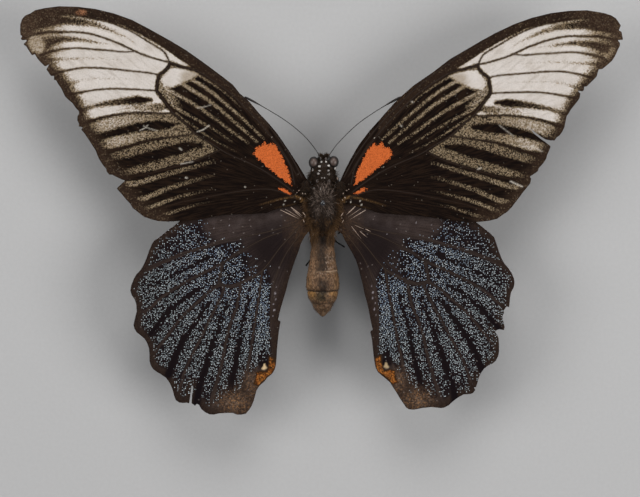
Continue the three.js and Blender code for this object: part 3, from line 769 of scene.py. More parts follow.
def fold_depth(points, folds):
    """How far each point lies in the trough of a fold, from 0 to 1."""
    return np.max([np.exp(-(near(points, line)[0] / 0.9) ** 2) for line, _, _ in folds], axis=0)


def relief(u, v, vein, fold, edge, side):
    """The wing's own height: low ridges at veins, troughs at folds, and slow waves that grow towards
    the free edge."""
    free = smoothstep(6, 0, edge) * smoothstep(10, 30, u)
    slow = 0.16 * waves(u, v, 6.0, 0.7 + side) * smoothstep(8, 30, u)
    return 0.09 * np.exp(-(vein / 0.5) ** 2) - 0.13 * fold + slow + 0.12 * free * waves(u, v, 1.7, 1.1)


def fore_pattern(points, edge, side):
    """The forewing's pattern as values from 0 to 1 on each point: how densely pale scales lie, how
    warm they are, how much orange and brown there is, and the bare rubbed lines. Pale density is the
    field's, cut by the dark folds, vein halos and margin, with the streaks laid over the dark ground."""
    u, v = points.T
    margin = near(points, smooth_line(FORE_MARGIN, 3))[0]
    lines = {name: line for name, line, _, _ in FORE_VEINS}
    under_third = smoothstep(0.35, -0.35, v - line_level(u, lines["media_three"]))
    under_first = smoothstep(0.35, -0.35, v - line_level(u, lines["cubitus_one"]))
    outwards = smoothstep(36, 46, u)
    level = 1 - under_third * (0.72 - 0.22 * outwards) - under_first * (0.04 + 0.22 * outwards)
    tip = smoothstep(54.5, 61, u) * smoothstep(30.5, 34, v)
    level *= 1 - 0.68 * tip - 0.3 * tip * smoothstep(38.2, 40.2, v)
    level *= 1 - 0.5 * smoothstep(47, 53, u) * smoothstep(39.2, 40.4, v)
    fade = 3.9 + 0.3 * under_third + 0.4 * tip
    level *= smoothstep(0.8, 0.8 + fade, margin)
    pale = area(points, FORE_FIELD, 0.4) * level
    cell_end = near(points, smooth_line(lines["cell_end"], 3))[0]
    inner = smoothstep(0.3, -0.3, u - np.interp(v, [20.2, 22.1, 24.1, 25, 28.4, 29.2, 31.3],
                                                [33, 34.4, 35.9, 36.5, 36, 35, 33.7]))
    pale = np.maximum(pale, 0.3 * inner * smoothstep(3.4, 1.6, cell_end) * smoothstep(20.5, 22.5, v))
    for line, half, paleness in FORE_STREAKS:
        light, along = band(points, line, (half, half * 0.8), 0.3)
        pale = np.maximum(pale, light * blend(paleness, along) * smoothstep(0.9, 3.2, margin))
    pale = np.maximum(pale, area(points, CELL_SPOT, 0.7))
    for line, half, darkness in FORE_FOLDS:
        dark, along = band(points, line, half, 0.55, 0.55)
        pale *= 1 - blend(darkness, along) * dark
    pale *= 1 - 0.9 * halo_strength(points, FORE_VEINS, 0.36)
    pale *= 1 - area(points, COSTAL_BAND, 0.3)
    worn_place, worn_size = ((63.6, 34.9), (2.7, 2.5)) if side == LEFT else ((63.2, 33.6), (2.6, 1.8))
    drift = np.column_stack([waves(u, v, 0.7, 0.4), waves(v, u, 0.55, 1.9)])
    worn = spot(points + 0.9 * drift, worn_place, worn_size) * (0.55 if side == LEFT else 0.3)
    pale = np.maximum(pale, worn * smoothstep(0.0, 1.2, edge))
    warm = under_third * (1 - 0.55 * outwards) + smoothstep(32.5, 30, u) * smoothstep(30, 28.5, v)
    warm = np.clip(np.maximum(warm, np.maximum(1.6 * worn, 0.9 * tip)), 0, 1)
    rubbed = np.max([band(points, line, (half, half), 0.12)[0] for line, half in FORE_RUBS[side]], axis=0)
    for x, y, size in FORE_SPECKS:
        rubbed = np.maximum(rubbed, spot(points, (x, y), (size, size)))
    amber = np.zeros(len(points))
    for line, half, strength in AMBER_RIDGES:
        ridge, along = band(points, line, (half, half), 0.25)
        amber = np.maximum(amber, ridge * blend(strength, along))
    orange = np.maximum(area(points, ORANGE_PATCH, 0.35), area(points, ORANGE_BIT, 0.3))
    rim = smoothstep(4.5, 0.5, margin)
    far_tip = smoothstep(52, 60, u) * smoothstep(28, 34, v)
    rusty = spot(points, (53, 42.1), (1.3, 0.8)) if side == LEFT else np.zeros(len(points))
    brown = np.clip(0.7 * far_tip + 0.6 * rim + 0.35 * area(points, COSTAL_BAND, 0.5) * (u > 12), 0, 1)
    return {"pale": pale, "warm": warm, "orange": orange, "brown": brown, "rubbed": rubbed,
            "rusty": rusty, "amber": amber}


def hind_pattern(points, edge, side):
    """The hindwing's pattern: how densely blue-grey scales lie, how blue they are, how black the
    ground is, the orange, cream and rusty marks, and a painted sheen near the root. Dust density
    is the field's, cut by the folds and the veins' halos."""
    u, v = points.T
    field = area(points, HIND_FIELD, 0.7 + 1.6 * smoothstep(-20, -14, v) * smoothstep(34, 26, u))
    above = smoothstep(-0.3, 0.3, v - line_level(u, HIND_VEINS[0][1])) * (u > 20)
    strength = 1 - 0.35 * above
    strength *= 1 - 0.22 * smoothstep(7, 2, edge)
    strength *= 1 - 0.4 * smoothstep(-36, -43, v)
    strength *= 1 + 0.8 * smoothstep(16, 13.5, u) * smoothstep(-17, -20, v)
    cell = 0.85 * area(points, HIND_CELL, 0.7) * (0.1 + 0.9 * smoothstep(15, 20, u))
    dust = np.maximum(field * strength, cell)
    dust *= 1 - halo_strength(points, HIND_VEINS, 0.3)
    black = np.zeros(len(points))
    for line, half, darkness in HIND_FOLDS:
        dark, along = band(points, line, FOLD_WIDENING * np.array(half), 0.4)
        black = np.maximum(black, dark * blend(darkness, along))
    dust = dust * (1 - black)
    stray = 0.07 * area(points, HIND_FIELD, 3.0) * (u > 14)
    dust = np.maximum(dust, stray * (1 - black))
    hollow = smoothstep(9, 2, np.hypot(u - 11, v + 9.5))
    ground = np.maximum(np.maximum(black, 0.75 * hollow), 0.6 * cell)
    blue = np.clip(cell + smoothstep(32, 14, np.hypot(u - 9, v + 6)), 0, 1)
    orange = area(points, ANAL_ORANGE, 0.5)
    drift = 0.5 * np.column_stack([waves(u, v, 0.35, 0.4), waves(v, u, 0.3, 1.9)])
    cream = spot(points + drift, (12.7, -35.6), (0.55, 0.75)) * (0.9 if side == LEFT else 0.6)
    rust = np.exp(-((u - 19.4) / 3.0) ** 2 - ((v + 43.6) / 2.1) ** 2) * (1.0 if side == LEFT else 0.85)
    rust = np.maximum(rust, 0.6 * np.exp(-((u - 15.6) / 1.8) ** 2 - ((v + 39.4) / 2.6) ** 2))
    rubbed = np.max([spot(points, (x, y), (size, size * 1.4)) for x, y, size in HIND_SPECKS], axis=0)
    amber = np.exp(-((np.hypot(u - 4, v + 5) - 1) / 3.5) ** 2) * (u < 9)
    rim = smoothstep(2.6, 0.3, edge)
    low_end = smoothstep(-36, -42, v) * smoothstep(25, 18, u)
    # Painted sheen: a pale grey haze over the front of the hindwing's root
    painted_sheen_patch = smoothstep(-10, -3, v) * smoothstep(4, 12, u)
    return {"dust": dust, "blue": blue, "black": ground, "orange": orange, "cream": cream, "rust": rust,
            "rim": np.maximum(rim, low_end), "painted_sheen": painted_sheen_patch, "rubbed": rubbed, "amber": amber}


def sheet_level(wing, places, table, vein, edge):
    """The middle level of the wing's sheet at each place: the blade's, with the relief."""
    level = blade_level(f"{wing.pair}wing_{wing.name}")(np.abs(places[:, 0]))
    return level + relief(*table.T, vein, fold_depth(table, wing.folds), edge, wing.side)


def build_wing(wing, pattern, material):
    """One wing: a thin closed sheet over the clipped grid, with its pattern on its points."""
    settings = bpy.context.scene.butterfly
    closed = wing_edge(wing)
    places, rim, squares, rims = clip_grid(closed[:-1], settings.wing_cell / MM)
    table = to_table(places, wing)
    edge = near(places, closed)[0]
    vein = vein_distance(table, wing.veins)
    height = sheet_level(wing, places, table, vein, edge)
    half = np.where(rim, 0.02, settings.wing_thickness / MM / 2)
    top = np.column_stack([places, height + half])
    bottom = np.column_stack([places, height - half])
    count = len(places)
    walls = np.column_stack([rims[:, 0] + count, rims[:, 1] + count, rims[:, 1], rims[:, 0]])
    faces = face_rows(squares, squares[:, ::-1] + count, walls)
    values = pattern(table, edge, wing.side)
    values["vein"] = np.exp(-(vein / 0.2) ** 2)
    u, v = (table - np.array(wing.joint)).T
    values["ray"] = np.arctan2(v, u)
    values["reach"] = np.hypot(v, u)
    both = {key: np.concatenate([value, value]) for key, value in values.items()}
    both["under"] = np.concatenate([np.zeros(count), np.ones(count)])
    make_piece(f"wing_{wing.pair}_{wing.name}", np.vstack([top, bottom]), faces, material, both,
               stands_for=(f"{wing.pair}wing_{wing.name}",))


def build_veins(wing, material):
    """The veins of one wing as thin tubes, half sunk in the sheet, tapering outwards."""
    closed = wing_edge(wing)
    parts = []
    for _, line, size, _ in wing.veins:
        table = smooth_line(line, 8)
        places = from_table(table, wing)
        edge = near(places, closed)[0]
        held = inside(places, closed[:-1]) & (edge > 0.12)
        table, places, edge = table[held], places[held], edge[held]
        height = sheet_level(wing, places, table, np.zeros(len(table)), edge)
        radius = np.linspace(*size, len(table)) * VEIN_FINENESS
        points, faces, _ = tube(np.column_stack([places, height]), radius, 8)
        parts.append((points, faces, {"out": np.abs(points[:, 0])}))
    points, faces, values = join_parts(parts)
    make_piece(f"veins_{wing.pair}_{wing.name}", points, faces, material, values)


# Materials

# Kind of node, its settings, and which output is given back, by a short name
RECIPES = {
    "place": ("TexCoord", {}, 3),
    "value": ("Attribute", {}, 2),
    "mix": ("Mix", {"data_type": "RGBA"}, 2),
    "tint": ("Mix", {"data_type": "RGBA", "blend_type": "MULTIPLY"}, 2),
    "times": ("Math", {"operation": "MULTIPLY"}, 0),
    "plus": ("Math", {"operation": "ADD"}, 0),
    "minus": ("Math", {"operation": "SUBTRACT"}, 0),
    "above": ("Math", {"operation": "GREATER_THAN"}, 0),
    "below": ("Math", {"operation": "LESS_THAN"}, 0),
    "rise": ("MapRange", {"interpolation_type": "SMOOTHSTEP"}, 0),
    "join": ("CombineColor", {}, 0),
    "vector": ("CombineXYZ", {}, 0),
    "split": ("SeparateColor", {}, None),
    "stretch": ("Mapping", {}, 0),
    "noise": ("TexNoise", {}, 0),
    "cells": ("TexVoronoi", {"voronoi_dimensions": "3D"}, None),
    "flat_cells": ("TexVoronoi", {"voronoi_dimensions": "2D"}, None),
    "bump": ("Bump", {}, 0),
    "surface": ("BsdfPrincipled", {}, 0),
    "output": ("OutputMaterial", {}, None),
}


def add_node(tree, recipe, *inputs, **named):
    """Adds one shader node from its recipe and gives back its output, or the node itself. Inputs go to
    its open sockets in order, and each is a value or the socket that feeds it. A named one is an input,
    with underscores for its spaces, or else a setting."""
    kind, settings, output = RECIPES[recipe]
    made = tree.nodes.new("ShaderNode" + kind)
    for key, value in settings.items():
        setattr(made, key, value)
    fed = list(zip((socket for socket in made.inputs if socket.enabled), inputs))
    for key, value in named.items():
        if key.replace("_", " ") in made.inputs:
            fed.append((made.inputs[key.replace("_", " ")], value))
        else:
            setattr(made, key, value)
    for socket, value in fed:
        if isinstance(value, bpy.types.NodeSocket):
            tree.links.new(value, socket)
        else:
            socket.default_value = value
    return made if output is None else made.outputs[output]


def new_material(name, *values):
    """An empty node material: itself, the function that adds its nodes, its object coordinates, and the
    sockets of the named values on the mesh."""
    material = bpy.data.materials.new(name)
    material.use_nodes = True
    material.node_tree.nodes.clear()
    add = functools.partial(add_node, material.node_tree)
    mesh = {value: add("value", attribute_name=value) for value in values}
    return material, add, add("place"), mesh


def speckle(add, place, size_mm, detail=2.0, stretch=(1, 1, 1), roughness=0.6):
    """Noise whose patches are about size_mm across."""
    scaled = add("stretch", place, Scale=stretch)
    return add("noise", scaled, 1 / (size_mm * MM), detail, roughness)


def scales(add, place, size_mm, stretch=(1, 1, 1), flat=False):
    """Cells about size_mm across, one for each scale: two random values and the distance inside. Flat
    cells are the same all through the sheet's thickness."""
    scaled = add("stretch", place, Scale=stretch)
    made = add("flat_cells" if flat else "cells", scaled, 1 / (size_mm * MM))
    colour = add("split", made.outputs["Color"])
    return colour.outputs[0], colour.outputs[1], made.outputs["Distance"]


def streaks(add, mesh, across, along):
    """Fine rays running out from the wing's joint: noise with so many cells in a radian across them,
    where 60 is a cell every 0.5 mm at 30 mm out, and so many in a millimetre along them."""
    ray = add("vector", add("times", mesh["ray"], across), add("times", mesh["reach"], along))
    return add("noise", ray, 1.0, 3.0)


def rubbed_marks(add, mesh, fine):
    """How bare each place is: the rubbed marks, broken by fine grain, on the wing's upper side only."""
    marks = add("times", mesh["rubbed"], add("rise", fine, 0.3, 0.6))
    return add("times", marks, add("minus", 1.0, mesh["under"]))


def shaded_scales(add, colour, inside_scale):
    """The colour with painted light and shade on each scale: a little lighter at its middle and darker at
    its rim.
    """
    # Painted shade at each scale's rim and painted light at its middle
    painted_shade = add("rise", inside_scale, 0.1, 0.8, 1.08, 0.84)
    return add("tint", 1.0, colour, add("join", painted_shade, painted_shade, painted_shade))


def forewing_material():
    """Wing membrane under rows of flat pigment scales, matt and powdery. Each scale is white, tan or
    black, so that every border is a scatter of single scales. A real scale is about 0.1 mm wide,
    which is too fine to show, so the cells are 0.2 mm."""
    settings = bpy.context.scene.butterfly
    material, add, place, mesh = new_material(
        "forewing_powder_scales", "pale", "warm", "brown", "amber", "orange", "rusty", "vein", "rubbed",
        "under", "ray", "reach")
    fine = speckle(add, place, 0.2, 1.0)
    patch = speckle(add, place, 3.0, 3.0)
    chance, other, inside_scale = scales(add, place, 0.2, flat=True)
    ray = streaks(add, mesh, 60.0, 0.25)
    jitter = add("times", add("minus", chance, 0.5), 0.64)
    pale = add("times", mesh["pale"], 1.42)
    over = add("plus", pale, add("times", jitter, add("rise", pale, 0.0, 0.25)))
    warm = add("plus", mesh["warm"], add("times", other, 0.25))
    tan = add("mix", other, settings.wing_tan[:], linear("#9c8a70"))
    white = add("mix", add("rise", patch, 0.3, 0.75), settings.wing_white[:], linear("#cac2bb"))
    white = add("mix", add("rise", ray, 0.48, 0.72, 0.0, 0.55), white, linear("#b0a59b"))
    whiteness = add("times", add("rise", over, 0.5, 1.05),
                    add("rise", warm, 0.0, 1.25, 1.0, 0.35))
    light = add("mix", whiteness, tan, white)
    ground = add("mix", add("rise", ray, 0.4, 0.65), settings.wing_black[:], linear("#21160f"))
    brown = mesh["brown"]
    dull = add("mix", other, linear("#2c2019"), linear("#4c3b2e"))
    dark = add("mix", brown, ground, dull)
    fleck = add("below", chance, add("times", brown, 0.16))
    dark = add("mix", add("times", fleck, 0.7), dark, linear("#5f5140"))
    stray = add("times", add("above", chance, 0.996), 0.3)
    dark = add("mix", stray, dark, linear("#8f8578"))
    colour = add("mix", add("rise", over, 0.07, 0.7), dark, light)
    colour = add("mix", add("times", mesh["amber"], 0.85), colour,
                 add("mix", other, linear("#3a2817"), linear("#8f6c42")))
    glow = add("minus", add("times", mesh["orange"], 1.12), chance)
    red = add("mix", other, linear("#b4582a"), settings.wing_orange[:])
    colour = add("mix", add("rise", glow, -0.02, 0.25), colour, red)
    rusty = add("times", mesh["rusty"], other)
    colour = add("mix", rusty, colour, linear("#9a6a4c"))
    vein = add("times", mesh["vein"], 0.7)
    colour = add("mix", vein, colour, linear("#2b1e16"))
    colour = add("mix", rubbed_marks(add, mesh, fine), colour, linear("#c9c0b4"))
    colour = shaded_scales(add, colour, inside_scale)
    colour = add("mix", add("times", mesh["under"], 0.25), colour, linear("#5b4b3c"))
    surface = add("surface", Base_Color=colour, Roughness=0.85, Specular_IOR_Level=0.06,
                  Normal=add("bump", 0.5, 0.03 * MM, Height=add("plus", fine, inside_scale)))
    add("output", Surface=surface)
    return material


def hindwing_material():
    """The same scaled membrane, black-brown, with single blue-grey scales dusted over it. Its cells
    are 0.33 and 0.26 mm, because real scales of about 0.1 mm are too fine to show."""
    settings = bpy.context.scene.butterfly
    material, add, place, mesh = new_material(
        "hindwing_dusted_scales", "dust", "painted_sheen", "rim", "black", "blue", "rust", "orange", "amber",
        "rubbed", "under", "cream", "vein", "ray", "reach")
    fine = speckle(add, place, 0.2, 1.0)
    patch = speckle(add, place, 2.2, 2.0)
    chance, other, reach = scales(add, place, 0.33, flat=True)
    small_chance, small_other, inside_scale = scales(add, place, 0.26, flat=True)
    ray = streaks(add, mesh, 90.0, 0.18)
    dust = add("times", mesh["dust"], add("rise", patch, 0.2, 0.6, 0.55, 0.82))
    present = add("below", chance, dust)
    dot = add("times", present, add("rise", reach, 0.2, 0.36, 0.95, 0.0))
    base = add("mix", add("rise", ray, 0.35, 0.7), settings.hind_brown[:], linear("#3c312d"))
    # Painted sheen: a pale grey haze laid over the hindwing's root
    sheen = add("times", mesh["painted_sheen"], add("rise", patch, 0.35, 0.7, 0.1, 0.75))
    base = add("mix", sheen, base, linear("#473d3b"))
    base = add("mix", add("rise", mesh["dust"], 0.0, 0.4), base, linear("#170f11"))
    edge = add("mix", small_other, linear("#211714"), linear("#30241d"))
    base = add("mix", mesh["rim"], base, edge)
    base = add("mix", mesh["black"], base, settings.hind_black[:])
    powder = add("mix", mesh["blue"], settings.dust_grey[:], settings.dust_blue[:])
    powder = add("mix", add("rise", other, 0.3, 0.95), powder, linear("#ccd6db"))
    colour = add("mix", dot, base, powder)
    stray = add("times", add("above", small_chance, 0.994), 0.35)
    colour = add("mix", stray, colour, linear("#877d78"))
    mottle = speckle(add, place, 1.0, 3.0)
    clumped = add("plus", add("times", small_chance, 0.5), mottle)
    worn = add("times", mesh["rust"], 0.85)
    colour = add("mix", worn, colour, add("mix", small_chance, linear("#2e2118"), linear("#7a6454")))
    grit = speckle(add, place, 0.5, 2.0)
    rust = add("times", mesh["rust"], add("rise", grit, 0.5, 0.62, 0.0, 0.8))
    colour = add("mix", rust, colour, add("mix", small_other, linear("#5a3a22"), linear("#a37850")))
    orange = add("minus", add("times", mesh["orange"], 1.35), clumped)
    amber = add("mix", small_other, linear("#6b3512"), settings.anal_orange[:])
    colour = add("mix", add("rise", mesh["orange"], 0.2, 0.7), colour, linear("#33200f"))
    colour = add("mix", add("rise", orange, 0.3, 0.7), colour, amber)
    amber = add("times", mesh["amber"], add("rise", ray, 0.35, 0.65, 0.1, 0.6))
    colour = add("mix", amber, colour, add("mix", small_other, linear("#2b1e13"), linear("#5a4129")))
    colour = add("mix", rubbed_marks(add, mesh, fine), colour, linear("#a39ba0"))
    colour = add("mix", mesh["cream"], colour, linear("#dcbf95"))
    colour = add("mix", add("times", mesh["vein"], 0.4), colour, linear("#281d16"))
    colour = shaded_scales(add, colour, inside_scale)
    surface = add("surface", Base_Color=colour, Roughness=0.8, Specular_IOR_Level=0.08,
                  Normal=add("bump", 0.5, 0.03 * MM, Height=add("plus", fine, inside_scale)))
    add("output", Surface=surface)
    return material


def vein_material(name, root, tip, change_low, change_high):
    """Horny wing vein: thin tube with a satin skin, paler and worn near the root."""
    material, add, place, mesh = new_material(name, "out")
    out = mesh["out"]
    wear = speckle(add, place, 1.4, 3.0)
    moved = add("plus", out, add("times", add("minus", wear, 0.5), 8.0))
    colour = add("mix", add("rise", moved, change_low, change_high), root, tip)
    colour = add("mix", add("rise", wear, 0.55, 0.75, 0.0, 0.25), colour, linear("#544638"))
    surface = add("surface", Base_Color=colour, Roughness=0.7, Specular_IOR_Level=0.25,
                  Normal=add("bump", 0.4, 0.02 * MM, Height=wear))
    add("output", Surface=surface)
    return material


def fur_material():
    """Dried hair: fine and dull, darker at its roots, from grey on the back to rust brown below."""
    settings = bpy.context.scene.butterfly
    material, add, place, mesh = new_material("dried_body_hair", "tone", "grey", "run")
    tone = mesh["tone"]
    grey = mesh["grey"]
    run = mesh["run"]
    patch = speckle(add, place, 0.9, 2.0)
    brown = add("mix", tone, linear("#1c130d"), settings.fur_brown[:])
    colour = add("mix", grey, brown, settings.fur_grey[:])
    colour = add("mix", add("rise", patch, 0.4, 0.7, 0.0, 0.4), colour, linear("#2c1f16"))
    colour = add("mix", add("rise", run, 0.0, 0.7, 0.75, 0.0), colour, linear("#120b08"))
    surface = add("surface", Base_Color=colour, Roughness=0.6, Specular_IOR_Level=0.25)
    add("output", Surface=surface)
    return material


def skin_material():
    """Dark dried body skin under the fur: leathery and dull, with a fine pebbled grain."""
    material, add, place, _ = new_material("dried_body_skin")
    grain = speckle(add, place, 0.35, 3.0)
    colour = add("mix", grain, linear("#180f0a"), linear("#3a2a1e"))
    surface = add("surface", Base_Color=colour, Roughness=0.8,
                  Normal=add("bump", 0.7, 0.06 * MM, Height=grain))
    add("output", Surface=surface)
    return material


def abdomen_material():
    """Abdomen: overlapping brown scales lying towards the tail, greasy with age, darker on the midline
    and in the grooves, with painted shade down its right side and on its underside, and painted
    highlight flecks. The cells are 0.26 mm, coarser than real scales of 0.1 mm, so that they show."""
    settings = bpy.context.scene.butterfly
    material, add, place, mesh = new_material(
        "abdomen_greasy_scales", "painted_shade", "gold", "middle", "olive", "painted_glints", "front", "ring", "edge",
        "low")
    chance, other, inside_scale = scales(add, place, 0.26, (1, 0.6, 1))
    grain = speckle(add, place, 0.7, 4.0, (1, 0.4, 1))
    blotch = speckle(add, place, 2.2, 3.0)
    brown = add("mix", chance, linear("#4c3827"), settings.abdomen_brown[:])
    colour = add("mix", add("rise", grain, 0.45, 0.7, 0.0, 0.6), brown, linear("#2a1d14"))
    colour = add("mix", add("rise", blotch, 0.45, 0.7, 0.0, 0.5), colour, linear("#3d2c1e"))
    pale = add("times", add("rise", speckle(add, place, 0.5, 2.0), 0.52, 0.66), 0.35)
    colour = add("mix", pale, colour, linear("#b3977a"))
    # Painted shade: the abdomen's right side darkened, as if less light fell on it
    colour = add("mix", add("times", mesh["painted_shade"], 0.35), colour, linear("#3a2a1c"))
    gold = add("times", mesh["gold"], add("rise", blotch, 0.3, 0.55, 0.3, 1.0))
    colour = add("mix", gold, colour, add("mix", chance, linear("#5f4224"), linear("#a87e4a")))
    middle = add("times", mesh["middle"], add("rise", grain, 0.35, 0.65, 1.0, 0.8))
    colour = add("mix", middle, colour, linear("#1f150e"))
    colour = add("mix", add("times", mesh["olive"], 0.85), colour,
                 add("mix", chance, linear("#1f1b12"), linear("#3c3624")))
    # Painted highlights: pale flecks laid into the colour where glints would fall
    painted_glints = add("minus", mesh["painted_glints"], other)
    colour = add("mix", add("rise", painted_glints, -0.1, 0.3, 0.0, 0.65), colour,
                 add("mix", blotch, linear("#9a7d68"), linear("#a1968c")))
    colour = add("mix", add("times", mesh["front"], 0.75), colour, linear("#22160d"))
    colour = add("mix", mesh["ring"], colour, linear("#140d08"))
    colour = add("mix", mesh["edge"], colour, linear("#b39a80"))
    # Painted shade on the underside below the middle level, and the tip's own darker brown
    colour = add("mix", add("times", mesh["low"], 0.6), colour, linear("#1e1610"))
    height = add("plus", inside_scale, add("times", grain, 2.0))
    surface = add("surface", Base_Color=colour, Roughness=0.45, Specular_IOR_Level=0.17,
                  Normal=add("bump", 0.9, 0.1 * MM, Height=height))
    add("output", Surface=surface)
    return material


def eye_material():
    """Compound eye: smooth horny dome of tiny facets, glossy and near black, with a painted soft
    highlight that turns its top paler brown, and cloudy darker patches. Real facets are 0.03 mm
    wide, too fine to show, so these are 0.09 mm."""
    settings = bpy.context.scene.butterfly
    material, add, place, mesh = new_material("glossy_compound_eye", "up")
    _, _, facet = scales(add, place, 0.09)
    cloud = speckle(add, place, 1.1, 2.0)
    up = mesh["up"]
    # Painted highlight: the eye's top paler brown, its sides near black
    colour = add("mix", add("rise", up, 0.6, 0.98), linear("#120c0a"), settings.eye_sheen_brown[:])
    colour = add("mix", add("rise", cloud, 0.4, 0.7, 0.0, 0.35), colour, linear("#2f2420"))
    surface = add("surface", Base_Color=colour, Roughness=0.42, Coat_Weight=0.12, Coat_Roughness=0.25,
                  Normal=add("bump", 0.35, 0.012 * MM, Height=facet))
    add("output", Surface=surface)
    return material


def limb_material():
    """Horny legs and feelers: black-brown, satin, with fine cross rings and a dusting of scales."""
    material, add, place, _ = new_material("horny_limb")
    chance, _, inside_scale = scales(add, place, 0.12)
    patch = speckle(add, place, 1.2, 2.0)
    colour = add("mix", chance, linear("#0f0b09"), linear("#231a15"))
    colour = add("mix", add("rise", patch, 0.55, 0.8, 0.0, 0.4), colour, linear("#43362b"))
    surface = add("surface", Base_Color=colour, Roughness=0.45,
                  Normal=add("bump", 0.5, 0.02 * MM, Height=inside_scale))
    add("output", Surface=surface)
    return material


def tuft_material():
    """White scale tufts: chalky white flakes with grey gaps."""
    material, add, place, mesh = new_material("white_scale_tuft", "run", "white")
    run = mesh["run"]
    grain = speckle(add, place, 0.25, 2.0)
    flake = add("mix", mesh["white"], linear("#5a4a46"), linear("#e8e3de"))
    colour = add("mix", add("rise", run, 0.0, 0.4, 0.4, 1.0), linear("#4c413a"), flake)
    colour = add("mix", add("rise", grain, 0.5, 0.8, 0.0, 0.3), colour, linear("#a89a8c"))
    surface = add("surface", Base_Color=colour, Roughness=0.6)
    add("output", Surface=surface)
    return material


def strand_material():
    """Dried pale hair pencils and joint plates: horn-coloured, glossy, slightly pink."""
    material, add, place, mesh = new_material("pale_joint_horn", "run")
    run = mesh["run"]
    grain = speckle(add, place, 0.3, 2.0)
    colour = add("mix", grain, linear("#6a5042"), linear("#d4bdaa"))
    colour = add("mix", add("rise", run, 0.75, 1.0, 0.0, 0.6), colour, linear("#4c3a2e"))
    surface = add("surface", Base_Color=colour, Roughness=0.42, Coat_Weight=0.08,
                  Normal=add("bump", 0.5, 0.03 * MM, Height=grain))
    add("output", Surface=surface)
    return material


def pin_material():
    """Black enamelled steel: dark, glossy, with faint streaks from the dipping."""
    settings = bpy.context.scene.butterfly
    material, add, place, _ = new_material("black_enamelled_steel")
    streak = speckle(add, place, 0.5, 2.0, (1, 1, 0.1))
    colour = add("mix", streak, settings.pin_black[:], linear("#2a2a2e"))
    roughness = add("rise", streak, 0.3, 0.7, 0.18, 0.3)
    surface = add("surface", Base_Color=colour, Roughness=roughness, Coat_Weight=0.5,
                  Normal=add("bump", 0.2, 0.01 * MM, Height=streak))
    add("output", Surface=surface)
    return material


def card_material():
    """Pale matt card under the specimen, with a faint paper tooth."""
    settings = bpy.context.scene.butterfly
    material, add, place, _ = new_material("pale_matt_card")
    tooth = speckle(add, place, 0.8, 3.0)
    colour = add("mix", tooth, settings.card_grey[:], linear("#bebebf"))
    surface = add("surface", Base_Color=colour, Roughness=0.95, Specular_IOR_Level=0.1)
    add("output", Surface=surface)
    return material


# Settings and operators

def colour_setting(name, description, hex_colour):
    """A colour that a user can change."""
    return bpy.props.FloatVectorProperty(name=name, description=description, subtype="COLOR", size=4,
                                         min=0, max=1, default=linear(hex_colour))


class ButterflySettings(bpy.types.PropertyGroup):
    """Sizes and colours of the specimen."""

    wing_cell: bpy.props.FloatProperty(
        name="Wing mesh cell", description="Side of the squares that the wings are made of",
        default=0.2 * MM, precision=5, unit="LENGTH")
    wing_thickness: bpy.props.FloatProperty(
        name="Wing thickness", description="Thickness of the wing sheet with its scales",
        default=0.12 * MM, precision=5, unit="LENGTH")
    thorax_hairs: bpy.props.IntProperty(
        name="Thorax hairs", description="Number of hairs on the thorax and collar", default=12500)
    head_hairs: bpy.props.IntProperty(
        name="Head hairs", description="Number of hairs on the head and palps", default=4200)
    abdomen_hairs: bpy.props.IntProperty(
        name="Abdomen hairs", description="Number of short hairs on the abdomen", default=3200)
    hair_radius: bpy.props.FloatProperty(
        name="Hair radius", description="Radius of a body hair at its thickest",
        default=0.036 * MM, precision=6, unit="LENGTH")
    wing_white: colour_setting("Wing white", "White scales of the forewing", "#d4cdc8")
    wing_tan: colour_setting("Wing tan", "Warm pale scales of the forewing", "#7d6a51")
    wing_black: colour_setting("Wing black", "Black scales of the forewing", "#0f0806")
    wing_orange: colour_setting("Wing orange", "Orange patch at the forewing's root", "#d26a35")
    hind_brown: colour_setting("Hindwing brown", "Bare brown part of the hindwing", "#2b2220")
    hind_black: colour_setting("Hindwing black", "Folds of the hindwing", "#0f070a")
    dust_grey: colour_setting("Grey dust", "Outer dusting of the hindwing", "#7e888c")
    dust_blue: colour_setting("Blue dust", "Inner dusting of the hindwing", "#788aa0")
    anal_orange: colour_setting("Rear orange", "Orange mark at the hindwing's rear corner", "#a5692f")
    fur_brown: colour_setting("Brown fur", "Hair on the sides of the body", "#7c5b3a")
    fur_grey: colour_setting("Grey fur", "Hair on the back of the thorax", "#aa968a")
    abdomen_brown: colour_setting("Abdomen brown", "Scales of the abdomen", "#977356")
    eye_sheen_brown: colour_setting("Eye", "Middle of the dried eye", "#57463f")
    pin_black: colour_setting("Pin", "Enamel of the pin", "#17171a")
    card_grey: colour_setting("Card", "Ground under the specimen", "#b5b5b6")


class WingsOperator(bpy.types.Operator):
    """Adds the four wings as thin scaled sheets"""

    bl_idname = "butterfly.wings"
    bl_label = "Wings"

    def execute(self, context):
        looks = {"fore": (fore_pattern, forewing_material()), "hind": (hind_pattern, hindwing_material())}
        for wing in WINGS:
            build_wing(wing, *looks[wing.pair])
        return {"FINISHED"}


class VeinsOperator(bpy.types.Operator):
    """Adds the raised veins of the four wings"""

    bl_idname = "butterfly.veins"
    bl_label = "Wing veins"

    def execute(self, context):
        materials = {
            "fore": vein_material("forewing_horny_vein", linear("#211813"), linear("#251a13"), 22, 32),
            "hind": vein_material("hindwing_horny_vein", linear("#34271c"), linear("#221913"), 12, 22),
        }
        for wing in WINGS:
            build_veins(wing, materials[wing.pair])
        return {"FINISHED"}


